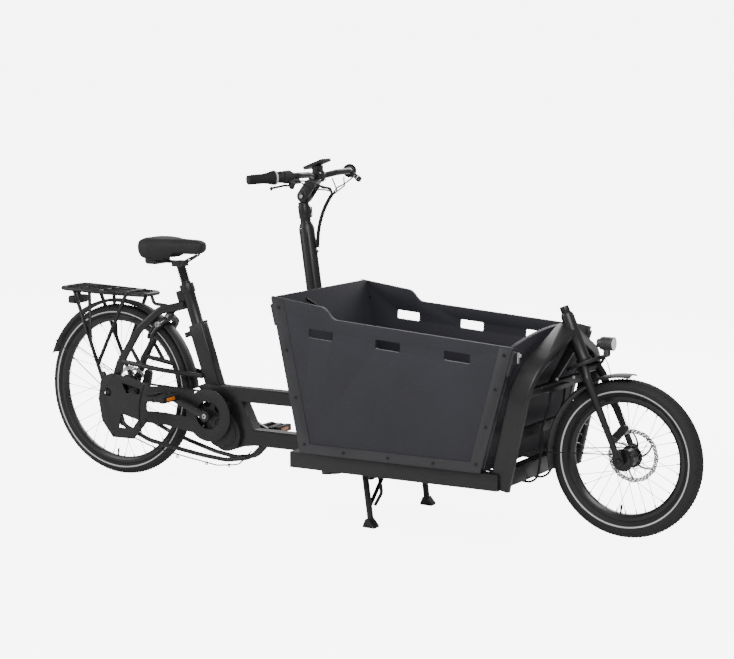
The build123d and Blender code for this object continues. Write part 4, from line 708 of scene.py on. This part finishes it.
def brake_disc(name, hub, radius_mm, y_mm, finish):
    """Drilled brake disc with swept arms and a scalloped edge."""
    band, centre_r, hole_r = 15.0, 29.0, 16.0
    waves = 12

    def polar(radius, degrees):
        return radius * math.cos(math.radians(degrees)), radius * math.sin(math.radians(degrees))

    rim = [polar(radius_mm - 0.9 + 0.9 * math.cos(math.radians(d * waves)), d) for d in range(0, 360, 3)]
    outlines = [rim, circle(0, 0, hole_r, 40)]
    inner_r = radius_mm - band

    def arm_edge(i, radius, side):
        share = (radius - centre_r) / (inner_r - centre_r)
        return i * 60 + 30 * share + side * math.degrees(4.0 / radius)

    for i in range(6):
        window = []
        for step in range(7):
            radius = centre_r + (inner_r - centre_r) * step / 6
            window.append(polar(radius, arm_edge(i, radius, 1)))
        start, end = arm_edge(i, inner_r, 1), arm_edge(i + 1, inner_r, -1)
        window += [polar(inner_r, start + (end - start) * k / 6) for k in range(1, 6)]
        for step in range(6, -1, -1):
            radius = centre_r + (inner_r - centre_r) * step / 6
            window.append(polar(radius, arm_edge(i + 1, radius, -1)))
        outlines.append(window)
        outlines.append(circle(*polar(22.0, i * 60 + 12), 3.0, 12))
    for i in range(36):
        for row in range(3):
            spot = polar(radius_mm - 3.6 - row * 4.0, i * 10 + row * 3.2)
            outlines.append(circle(*spot, 1.35, 10))
    disc = cut_plate(name, outlines, 1.9, hub + LEFT * (y_mm * MM), AHEAD, UP, finish, 0.15)
    places = [facing(wheel_spot(hub, 22.0, i * 60 + 12, y_mm + 0.9), LEFT) for i in range(6)]
    bolts = copies(name + " bolts", screw_head(4.2, 2.4), places, BOLT)
    return disc, bolts


def make_wheels():
    sets = (("rear", rear_hub_at, rear_tyre_r, 279.5, REAR_TYRE, 150, 51.0 + 180.0 / 32),
            ("front", front_hub_at, front_tyre_r, 203.0, FRONT_TYRE, 118, 0.0))
    for end, hub, outer, bead_mm, rubber_finish, stations, phase in sets:
        low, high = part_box(end + "_tyre")
        half_mm = (high.y - low.y) / 2 / MM
        casing, blocks = tyre_piece(end + " tyre", hub, outer / MM, bead_mm, half_mm, rubber_finish, stations)
        stands_for(casing, end + "_tyre")
        goes_with(blocks, end + "_tyre")
        stands_for(rim_piece(end + " rim", hub, bead_mm), end + "_rim")
        valve = lathe(end + " valve", wheel_spot(hub, bead_mm - 17, 264, 0), -outwards(264),
                      [(0, 0), (0, 3), (12, 3), (12, 3.9), (26, 3.9), (28, 2.6), (28, 0)], PLASTIC, 16)
        goes_with(valve, end + "_rim")
        goes_with(nipples(end + " nipples", hub, bead_mm, 32, phase), end + "_spokes")
        rounded_copy(end + "_hub", GLOSS, 0.8)
    for end, hub, radius_mm, y_mm, finish in (("rear", rear_hub_at, 80.0, 59.0, REAR_DISC),
                                              ("front", front_hub_at, 90.0, 51.0, FRONT_DISC)):
        disc, bolts = brake_disc(end + " brake disc", hub, radius_mm, y_mm, finish)
        stands_for(disc, end + "_rotor")
        goes_with(bolts, end + "_rotor")
    for end in ("rear", "front"):
        painted(frame["nodes"][end + "_spokes"], SPOKE)
        rounded_copy(end + "_axle", STEEL_BLACK, 0.6)
# ---- Places that more than one piece needs -------------------------------------------------
SLEEVE_TOP = at(942, 0, 1096)
SLEEVE_FOOT = at(882.5, 0, 908)
HOSE_TURN = at(950, 0, 1150)
HINGE = at(831, 0, 1089)
MAST_TOP = at(307, 0, 742)
LAMP = at(2002.2, 0, 641.5)
CHAINRING_X, CHAINRING_Z, CHAINRING_R = 441, 272, 84.0
SPROCKET_X, SPROCKET_Z, SPROCKET_R = 0, 327, 42.0
MOTOR_COVER_X, MOTOR_COVER_Z = 478, 214
LOCK_KEY_X, LOCK_KEY_Z = 219, 596


# ---- Pieces shaped after their CAD solids ------------------------------------------------
def bent(node, pieces):
    """Hoses joined into one piece that stands for a CAD node, which is hidden."""
    hose = together(node + "_hoses", pieces)
    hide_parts(node)
    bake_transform(hose)


def make_plain():
    plain = {
        FRAME: "mast frame_rails sill_frame front_arches column_tube rear_triangle fork steering_shaft stem "
               "handlebar stand",
        STEEL_BLACK: "cranks chainring saddle_frame seatpost brake_lever_left brake_lever_right",
        PANEL: "box_sides box_ends box_floor",
        PANEL_EDGE: "box_trims",
        DARK_BOLT: "box_bolts battery_key",
        BOLT: "lock_bolt",
        PLASTIC: "motor rear_fender front_fender chain_guard ring_lock display lever_mounts shifter "
                 "cable_sector pedal_left pedal_right rear_caliper front_caliper tail_light",
        LAMP_GREY: "headlight",
        HOSE: "frame_cables",
        RUBBER: "grips",
        CHAIN: "sprocket",
    }
    for finish, nodes in plain.items():
        for node in nodes.split():
            rounded_copy(node, finish)
    rounded_copy("rack", FRAME, cover_mm=1.6)
    route = [SLEEVE_TOP, at(925, 0, 1072), at(908, 0, 1040), at(895, 0, 1004), at(887, 0, 968),
             at(884, 0, 938), SLEEVE_FOOT]
    sleeve = tube("cable sleeve", route, 6.6, HOSE)
    bent("cable_sleeve", [sleeve])
    hoses = []
    for side, y in ((1, 2.6), (-1, -2.6)):
        hoses.append(tube("brake hose %d" % side, [
            at(926.8, side * 185.8, 1154.1), at(943.8, side * 156.4, 1155.8), at(950, side * 66, 1128),
            at(954, y + side * 8, 1122), at(943, y, 1094)], 2.7, HOSE))
    bent("bar_hoses", hoses)
    boot = rounded_copy("seatpost_boot", RUBBER, 0.6)
    MAST_TOP + joint_axis("seat_suspension") * (14 * MM)
    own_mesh(boot)


# ---- Saddle ------------------------------------------------------------------------------
def make_saddle():
    """Padded saddle: the CAD form drawn in a little, then blown up as cloth."""
    low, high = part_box("saddle")
    middle = (low + high) / 2
    mesh = frame["nodes"]["saddle"].data.copy()
    pad = painted(linked("saddle cover", mesh), SADDLE)
    shape = bmesh.new()
    shape.from_mesh(mesh)
    bmesh.ops.remove_doubles(shape, verts=shape.verts, dist=2e-6)
    for vert in shape.verts:
        vert.co = middle + (vert.co - middle) * 0.965
    shape.to_mesh(mesh)
    shape.free()
    remesh = pad.modifiers.new("even skin", "REMESH")
    remesh.mode = "VOXEL"
    remesh.voxel_size = 0.005
    remesh.use_smooth_shade = True
    pad = baked(pad)
    relax = pad.modifiers.new("relax", "SMOOTH")
    relax.factor = 0.6
    relax.iterations = 8
    pad = baked(pad)
    rest = [vert.co.copy() for vert in pad.data.vertices]
    cloth = pad.modifiers.new("filling", "CLOTH")
    cloth.settings.use_pressure = True
    cloth.settings.uniform_pressure_force = 4.0
    cloth.settings.effector_weights.gravity = 0.0
    scene = bpy.context.scene
    for step in range(1, 21):
        scene.frame_set(step)
    pad = baked(pad)
    scene.frame_set(1)
    cap = 5 * MM
    for vert, start in zip(pad.data.vertices, rest):
        move = vert.co - start
        if move.length > cap:
            vert.co = start + move.normalized() * cap
    finer = pad.modifiers.new("finer", "SUBSURF")
    finer.levels = finer.render_levels = 1
    pad = smoothed(baked(pad), 180)
    spare = 2 * MM
    for vert in pad.data.vertices:
        for i in range(3):
            vert.co[i] = min(max(vert.co[i], low[i] - spare), high[i] + spare)
    stands_for(pad, "saddle")
    head = at(279.1, 0, 823.4)
    for side in (1, -1):
        rail = tube("saddle_rail_chrome_%s" % ("left" if side > 0 else "right"),
                    [head + way(20, side * 22, 4) * MM, head + way(66, side * 20, 6) * MM,
                     head + way(84, side * 14, 20) * MM, head + way(88, side * 8, 40) * MM], 3.9, BOLT)
        goes_with(rail, "saddle_frame")
    bumper = round_box("saddle bumper", at(176, 0, 833), (AHEAD, LEFT, UP), (58, 96, 34), 12, PLASTIC, 5)
    goes_with(bumper, "saddle")


# ---- Handlebar details -------------------------------------------------------------------
def grip_line(side):
    """Outer end of a grip and the direction outwards along it."""
    return at(818, side * 334, 1163), way(-0.4994, side * 0.8649, -0.0499)


def make_bar_details():
    for side, length, word in ((1, 128, "left"), (-1, 94, "right")):
        end, run = grip_line(side)
        ribs = []
        for i in range(length // 7 - 7):
            spot = end - run * ((10 + i * 7) * MM)
            ribs.append(lathe("%s grip rib %d" % (word, i), spot, run,
                              [(-1.6, 16.0), (-1.2, 17.3), (1.2, 17.3), (1.6, 16.0)], RUBBER, 48, True))
        ribs.append(lathe(word + " grip cap", end + run * (3.6 * MM), run,
                          [(0, 0), (0, 15), (1.2, 14), (2.2, 9), (2.2, 0)], PLASTIC, 48))
        start = end - run * (length * MM)
        flare = [(0, 12), (0, 23.5), (2, 25), (10, 23), (24, 19.5), (42, 17.2), (42, 12)]
        ribs.append(lathe(word + " grip flare", start, run, flare, RUBBER, 56, True))
        goes_with(together(word + "_grip_ribs", ribs), "grips")
    end, run = grip_line(-1)
    inner = end - run * (126.8 * MM)
    collar = lathe("white shifter ring", inner + run * (24 * MM), run,
                   [(0, 12), (0, 22), (3, 24.6), (7.5, 25.4), (8, 12)], WHITE, 64, True)
    goes_with(collar, "shifter")
    hood_spot = inner - run * (22 * MM) - UP * (4 * MM)
    axes = (run, way(0.86, -0.5, 0), UP)
    hood = round_box("shifter housing", hood_spot, axes, (46, 38, 40), 13, PLASTIC, 5)
    goes_with(hood, "lever_mounts")
    pod = lathe("shifter pod", inner - run * (34 * MM), run,
                [(0, 12), (0, 18), (4, 21), (28, 21), (31, 18), (31, 12)], PLASTIC, 64, True)
    goes_with(pod, "lever_mounts")
    knurls = []
    for i in range(24):
        turn = math.tau * i / 24
        side_way = run.orthogonal().normalized()
        out = side_way * math.cos(turn) + run.cross(side_way) * math.sin(turn)
        knurls.append(facing(inner + run * (19 * MM) + out * (18.2 * MM), out, run))
    goes_with(copies("shifter knurls", brick(22, 2.2, 1.2), knurls, RUBBER), "shifter")
    for side, word in ((1, "left"), (-1, "right")):
        base = at(891.9, side * 206, 1170.4)
        run = way(-0.4994, side * 0.8649, -0.0499)
        ahead = way(0.6606, side * 0.3429, -0.6678)
        pin = (at(921.0, side * 221.1, 1141.0), way(0.5605, side * 0.3665, 0.7426) * side)
        screws = [facing(base + ahead * (36 * MM) - run * (26 * MM), ahead),
                  facing(base + ahead * (36 * MM) - run * (4 * MM), ahead)]
        goes_with(copies(word + " lever body screws", screw_head(3.2, 2.0), screws, BOLT), "lever_mounts")
        cap = lathe(word + " pivot screw", pin[0] + pin[1] * (9.5 * MM), pin[1],
                    [(0, 0), (0, 4.6), (1.8, 4.0), (1.8, 0)], BOLT, 24)
        goes_with(cap, "lever_mounts")
        tip = pin[0] + run * (82 * MM) + ahead * (4 * MM)
        hook = tube(word + " lever hook", [tip - run * (4 * MM), tip + run * (1 * MM) - UP * (1 * MM),
                                           tip + run * (1.5 * MM) - UP * (8 * MM)], 4.4, STEEL_BLACK)
        goes_with(hook, "brake_lever_" + word)
    heads = []
    bulge = [(-25, 10), (-23, 17), (-17, 23), (-8, 26), (8, 26), (17, 23), (23, 17), (25, 10)]
    ball = lathe("hinge ball", HINGE, LEFT, bulge, FRAME, 64, True)
    goes_with(ball, "stem")
    for side in (1, -1):
        heads.append(facing(HINGE + LEFT * (side * 26 * MM), LEFT * side))
    goes_with(copies("hinge bolts", screw_head(7.0, 3.5), heads, BOLT), "stem")
    front = [facing(at(837 - (z - 975) * 0.1435 + 27, 0, z), AHEAD) for z in (1046, 1024)]
    goes_with(copies("post clamp bolts", screw_head(5.2, 4.0), front, BOLT), "steering_shaft")
    tilt = math.radians(21)
    along = way(math.cos(tilt), 0, math.sin(tilt))
    above = way(-math.sin(tilt), 0, math.cos(tilt))
    glass = round_box("display glass", at(882, 0, 1204) + above * (5.9 * MM), (along, LEFT, above),
                      (68, 50, 1.2), 0.5, SCREEN)
    goes_with(glass, "display")
    for side in (1, -1):
        route = [at(886, side * 22, 1172), at(884, side * 22, 1186), at(880, side * 18, 1197)]
        arm = tube("display arm %s" % ("left" if side > 0 else "right"), route, 3.6, PLASTIC)
        goes_with(arm, "display")
    plate = cut_plate("stem face plate", [[(-11, -20), (11, -20), (11, 20), (-11, 20)]], 2.4,
                      at(904.5, 0, 1161), LEFT, UP, FRAME)
    goes_with(plate, "stem")
    loops = []
    bows = ((150, 962, 1128), (-150, 962, 1118), (70, 948, 1104), (-70, 944, 1122))
    for i, (y, reach, drop) in enumerate(bows):
        route = [at(902, y, 1150), at(930, y * 0.7, 1122), at(reach, y * 0.4, drop),
                 at(954, y * 0.12, 1108), at(942, y * 0.02, 1094)]
        loops.append(tube("bar loop %d" % i, route, 2.6, HOSE))
    loops = together("bar_loops", loops)
    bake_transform(loops)
    face = [facing(at(905.6, y, z), AHEAD) for y in (-16, 16) for z in (1149, 1173)]
    goes_with(copies("face plate bolts", screw_head(3.4, 2.6), face, BOLT), "stem")


# ---- Drive details -----------------------------------------------------------------------
def chain_route(pitch_mm=12.7):
    """Places of the chain's pins: along the upper run, round the chainring, back and round the sprocket."""
    big, small = Vector((CHAINRING_X, CHAINRING_Z)), Vector((SPROCKET_X, SPROCKET_Z))
    big_r, small_r = CHAINRING_R, SPROCKET_R
    gap = (big - small).length
    slope = math.atan2(big.y - small.y, big.x - small.x)
    lean = math.acos((big_r - small_r) / gap)
    up_big = math.pi + slope - lean
    down_big = math.pi + slope + lean
    path = []

    def arc(centre, radius, first, last, count):
        for i in range(count + 1):
            turn = first + (last - first) * i / count
            path.append(centre + Vector((math.cos(turn), math.sin(turn))) * radius)

    arc(small, small_r, down_big, up_big, 24)
    arc(big, big_r, up_big, down_big - math.tau, 60)
    path.append(path[0])
    spots = []
    run = 0.0
    for first, second in zip(path, path[1:]):
        span = (second - first).length
        while run <= span:
            spots.append((first + (second - first) * (run / span), second - first))
            run += pitch_mm
        run -= span
    return spots


def link_plate(outer):
    """Two figure-eight plates and a roller of one chain link, at the origin."""
    shape = bmesh.new()
    half, gap = (4.3, 3.1) if outer else (4.0, 2.2)
    ring = []
    for i in range(12):
        turn = math.tau * i / 12
        x = (6.35 if math.cos(turn) > 0 else -6.35) + half * math.cos(turn)
        ring.append((x, half * math.sin(turn) * (0.82 if abs(math.cos(turn)) < 0.3 else 1.0)))
    for side in (1, -1):
        low = [shape.verts.new((x * MM, z * MM, side * gap * MM)) for x, z in ring]
        high = [shape.verts.new((x * MM, z * MM, side * (gap + 0.9) * MM)) for x, z in ring]
        shape.faces.new(low)
        shape.faces.new(high)
        for i in range(12):
            j = (i + 1) % 12
            shape.faces.new((low[i], low[j], high[j], high[i]))
    matrix = Matrix.Translation((-6.35 * MM, 0, 0))
    bmesh.ops.create_cone(shape, cap_ends=True, segments=8, radius1=3.2 * MM, radius2=3.2 * MM,
                          depth=2 * gap * MM, matrix=matrix)
    return from_bmesh("chain link", shape, CHAIN)


def make_drive_details():
    spots = chain_route()
    rows = ([], [])
    for i, (spot, direction) in enumerate(spots):
        along = way(direction.x, 0, direction.y)
        rows[i % 2].append(facing(at(spot.x, -47, spot.y) + along.normalized() * (6.35 * MM), -LEFT, along))
    links = [copies("chain links %d" % i, link_plate(i == 0), row, CHAIN) for i, row in enumerate(rows)]
    stands_for(together("chain_links", links), "chain")
    for node in ("pedal_left", "pedal_right"):
        low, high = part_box(node)
        middle = (low + high) / 2
        strips = []
        for end in (-1, 1):
            strips.append(round_box("%s reflector %d" % (node, end), middle + AHEAD * (end * 46.5 * MM),
                                    (AHEAD, LEFT, UP), (2.4, 48, 12), 0.8, AMBER))
        goes_with(together(node + "_reflectors", strips), node)
        studs = []
        for i in range(9):
            for y in (-1, 1):
                for top in (-1, 1):
                    spot = middle + AHEAD * ((i - 4) * 9 * MM) + LEFT * (y * 38 * MM) + UP * (top * 11.4 * MM)
                    studs.append(facing(spot, UP * top))
        goes_with(copies(node + "_studs", peg(1.8, 2.2), studs, PLASTIC), node)
    crank = joint_place("crank_spin")
    bolts = [facing(Vector((crank.x, 0, crank.z)) + LEFT * (side * 88 * MM), LEFT * side) for side in (1, -1)]
    goes_with(copies("crank bolts", screw_head(9.0, 3.0), bolts, BOLT), "cranks")
    rings = []
    for i in range(5):
        turn = math.radians(20 + 72 * i)
        x, z = CHAINRING_X + 52 * math.cos(turn), CHAINRING_Z + 52 * math.sin(turn)
        rings.append(facing(at(x, -50.5, z), -LEFT))
    goes_with(copies("chainring bolts", screw_head(4.6, 2.4), rings, BOLT), "chainring")
    dish = [(-2, 0), (-2, 62), (1.5, 61), (4, 54), (4.8, 20), (4.8, 0)]
    cover = lathe("motor side cover", at(MOTOR_COVER_X, -42, MOTOR_COVER_Z), -LEFT, dish, PLASTIC, 64)
    goes_with(cover, "motor")
    mark = round_box("motor port cap", at(532, -41, 205), (AHEAD, UP, -LEFT), (13, 9, 4), 1.4, RED_LENS)
    goes_with(mark, "motor")
    boss_way = way(-0.946, 0, -0.324)
    boss = lathe("battery lock boss", at(364, 0, 575) + boss_way * (16 * MM), boss_way,
                 [(0, 5), (0, 14), (26, 13), (29, 11), (29, 5)], PLASTIC, 40, True)
    goes_with(boss, "mast")
    screws = [facing(at(MOTOR_COVER_X + 57 * math.cos(t), -44, MOTOR_COVER_Z + 57 * math.sin(t)), -LEFT)
              for t in (0.3, 1.2, 2.2, 3.3, 4.2, 5.2)]
    goes_with(copies("motor cover screws", screw_head(3.6, 2.0), screws, DARK_BOLT), "motor")
    spots = ((-28, 330), (30, 392), (178, 300), (178, 236), (24, 166))
    guard = [facing(at(x, -92.6, z), -LEFT) for x, z in spots]
    goes_with(copies("guard screws", screw_head(4.2, 2.0), guard, DARK_BOLT), "chain_guard")
    barrel = lathe("lock key barrel", at(LOCK_KEY_X, -60, LOCK_KEY_Z), -LEFT,
                   [(0, 0), (0, 11), (9, 11), (10.5, 9.5), (10.5, 0)], ALU, 40)
    goes_with(barrel, "ring_lock")
    # Painted shade: a thin glossy black plate on the barrel face stands for the dark inside of the key slot, which
    # is not cut as a hole.
    slot_shade = round_box("key slot", at(LOCK_KEY_X, -70.6, LOCK_KEY_Z), (AHEAD, UP, -LEFT),
                     (2.2, 8, 0.8), 0.2, GLOSS)
    goes_with(slot_shade, "ring_lock")
    route = [at(172, -92, 372), at(150, -93, 320), at(143, -93, 262), at(150, -93, 206), at(158, -92, 172)]
    rib = tube("guard rib", route, 3.2, PLASTIC, sides=3)
    goes_with(rib, "chain_guard")


# ---- Box details -------------------------------------------------------------------------
def make_box_details():
    strap = tube("inner strap", [at(930, -150, 742), at(936, -60, 700), at(950, 60, 610), at(962, 150, 520)],
                 5.5, HOSE, sides=2)
    goes_with(strap, "box_ends")
    clip_spot = at(1826, -296, 618)
    clip = together("panel_clip", [
        round_box("clip plate", clip_spot, (LEFT, UP, AHEAD), (16, 34, 3), 1.2, BOLT),
        round_box("clip hook", clip_spot + AHEAD * (5 * MM) + UP * (8 * MM), (LEFT, UP, AHEAD),
                  (10, 10, 8), 2.5, BOLT)])
    goes_with(clip, "box_ends")
    rivets = [facing(at(942, y, z), AHEAD) for y, z in ((-262, 706), (262, 706), (-262, 560), (262, 560))]
    goes_with(copies("inside rivets", screw_head(5, 2.4), rivets, DARK_BOLT), "box_ends")


# ---- Lamps and front details -------------------------------------------------------------
def make_front_details():
    lens = lathe("lamp lens", LAMP + AHEAD * (24.6 * MM), AHEAD,
                 [(0, 0), (0, 20), (1.5, 19.5), (3.5, 12), (4.2, 0)], CLEAR_LENS, 56)
    goes_with(lens, "headlight")
    fins = []
    for i in range(5):
        fins.append(lathe("lamp fin %d" % i, LAMP - AHEAD * ((-12 + i * 6) * MM), AHEAD,
                          [(-1.1, 21), (-1.1, 22.8), (1.1, 22.8), (1.1, 21)], LAMP_GREY, 48, True))
    goes_with(together("lamp_fins", fins), "headlight")
    wire = tube("lamp wire", [at(1992, -6, 604), at(2006, -8, 585), at(2014, -6, 560), at(2019, -4, 538)],
                1.5, HOSE)
    goes_with(wire, "fork")
    red = lathe("tail lens", at(-221, 0, 660), -AHEAD, [(-3, 0), (-3, 17), (1, 16.5), (4, 11), (5, 0)],
                RED_LENS, 48)
    goes_with(red, "tail_light")
    brackets = [facing(at(x, -101, z), -LEFT) for x, z in ((1812, 492), (1870, 527), (1931, 538))]
    goes_with(copies("bracket bolts", screw_head(5.5, 4.0), brackets, BOLT), "front_arches")
    head_up = joint_axis("fork_steer")
    top = joint_place("fork_steer") + head_up * (120 * MM)
    cap = lathe("head cap", top, head_up,
                [(-1, 0), (-1, 14.5), (0.5, 15.6), (3, 15.0), (4, 7), (2, 6), (2, 0)], GLOSS, 56)
    goes_with(cap, "fork")
    nuts = [facing(front_hub_at + LEFT * (side * 80 * MM), LEFT * side) for side in (1, -1)]
    goes_with(copies("front axle heads", screw_head(8.5, 3.0), nuts, DARK_BOLT), "front_axle")


# ---- Battery and cable tie details -------------------------------------------------------
def make_mast_details():
    mast_way = way(0.324, 0, -0.946)
    front_way = way(0.946, 0, 0.324)
    axes = (mast_way, LEFT, front_way)
    block_middle = MAST_TOP + mast_way * (230 * MM) + front_way * (31.5 * MM)
    cover = round_box("battery front cover", block_middle, axes, (150, 34, 5), 2.2, GLOSS)
    goes_with(cover, "mast")
    lip_middle = MAST_TOP + mast_way * (150 * MM) + front_way * (29 * MM)
    lip = round_box("battery top lip", lip_middle, axes, (9, 42, 10), 2.5, PLASTIC)
    goes_with(lip, "mast")
    ties = []
    for i, (x, z) in enumerate(((300, 105), (420, 88), (520, 90))):
        ties.append(lathe("cable tie %d" % i, at(x, -64 if i == 0 else -46, z), AHEAD,
                          [(-2, 5.6), (-2, 7), (2, 7), (2, 5.6)], PLASTIC, 20, True))
    goes_with(together("cable_ties", ties), "frame_cables")


def make_rest():
    make_plain()
    make_saddle()
    make_bar_details()
    make_drive_details()
    make_box_details()
    make_front_details()
    make_mast_details()




# ---- Camera, floor and light -------------------------------------------------------------
def make_camera():
    yaw, pitch, roll = 0.5355, 0.1350, -0.0031
    forward = way(-math.sin(yaw) * math.cos(pitch), math.cos(yaw) * math.cos(pitch), -math.sin(pitch))
    right = way(math.cos(yaw), math.sin(yaw), 0)
    up = right.cross(forward)
    right, up = right * math.cos(roll) + up * math.sin(roll), up * math.cos(roll) - right * math.sin(roll)
    data = bpy.data.cameras.new("camera")
    data.sensor_width = 36.0
    data.lens = 96.57
    data.clip_end = 200.0
    camera = linked("camera", data)
    turn = Matrix([[axis[i] for axis in (right, up, -forward)] for i in range(3)]).to_4x4()
    camera.matrix_world = Matrix.Translation(at(4590.9, -5907.6, 1560.0)) @ turn
    bpy.context.scene.camera = camera


def make_studio():
    """Pale floor, pale surroundings and three large soft lights."""
    floor_finish = Finish("pale floor", (0.86, 0.86, 0.86), 0.9, Specular_IOR_Level=0.1)
    floor_finish.set("Roughness", 0.85 + floor_finish.noise(3.0, 2.0) * 0.1)
    seen = floor_finish.node("ShaderNodeLightPath")
    floor_finish.set("Emission Color", floor_finish.mix(seen, (0, 0, 0, 1), (1, 1, 1, 1)))
    floor_finish.set("Emission Strength", 6.5)
    shape = bmesh.new()
    bmesh.ops.create_grid(shape, x_segments=1, y_segments=1, size=30.0)
    floor = from_bmesh("floor", shape, floor_finish.material)
    world = bpy.data.worlds.new("studio")
    world.use_nodes = True
    sky = Wiring(world.node_tree)
    glow = sky.node("ShaderNodeLightPath") * 6.3 + 0.42
    world.node_tree.links.new(glow.socket, world.node_tree.nodes["Background"].inputs["Strength"])
    world.node_tree.nodes["Background"].inputs["Color"].default_value = (1, 1, 1, 1)
    bpy.context.scene.world = world
    middle = at(1000, 0, 500)
    for name, spot, power, width in (("key light", at(3200, -2600, 3600), 150.0, 2.6),
                                     ("side light", at(-2600, -3000, 2600), 75.0, 2.4),
                                     ("back light", at(400, 3600, 3000), 150.0, 3.0)):
        data = bpy.data.lights.new(name, "AREA")
        data.energy = power
        data.size = width
        light = linked(name, data)
        light.matrix_world = facing(spot, spot - middle)


make_camera()
make_studio()
make_wheels()
make_rest()
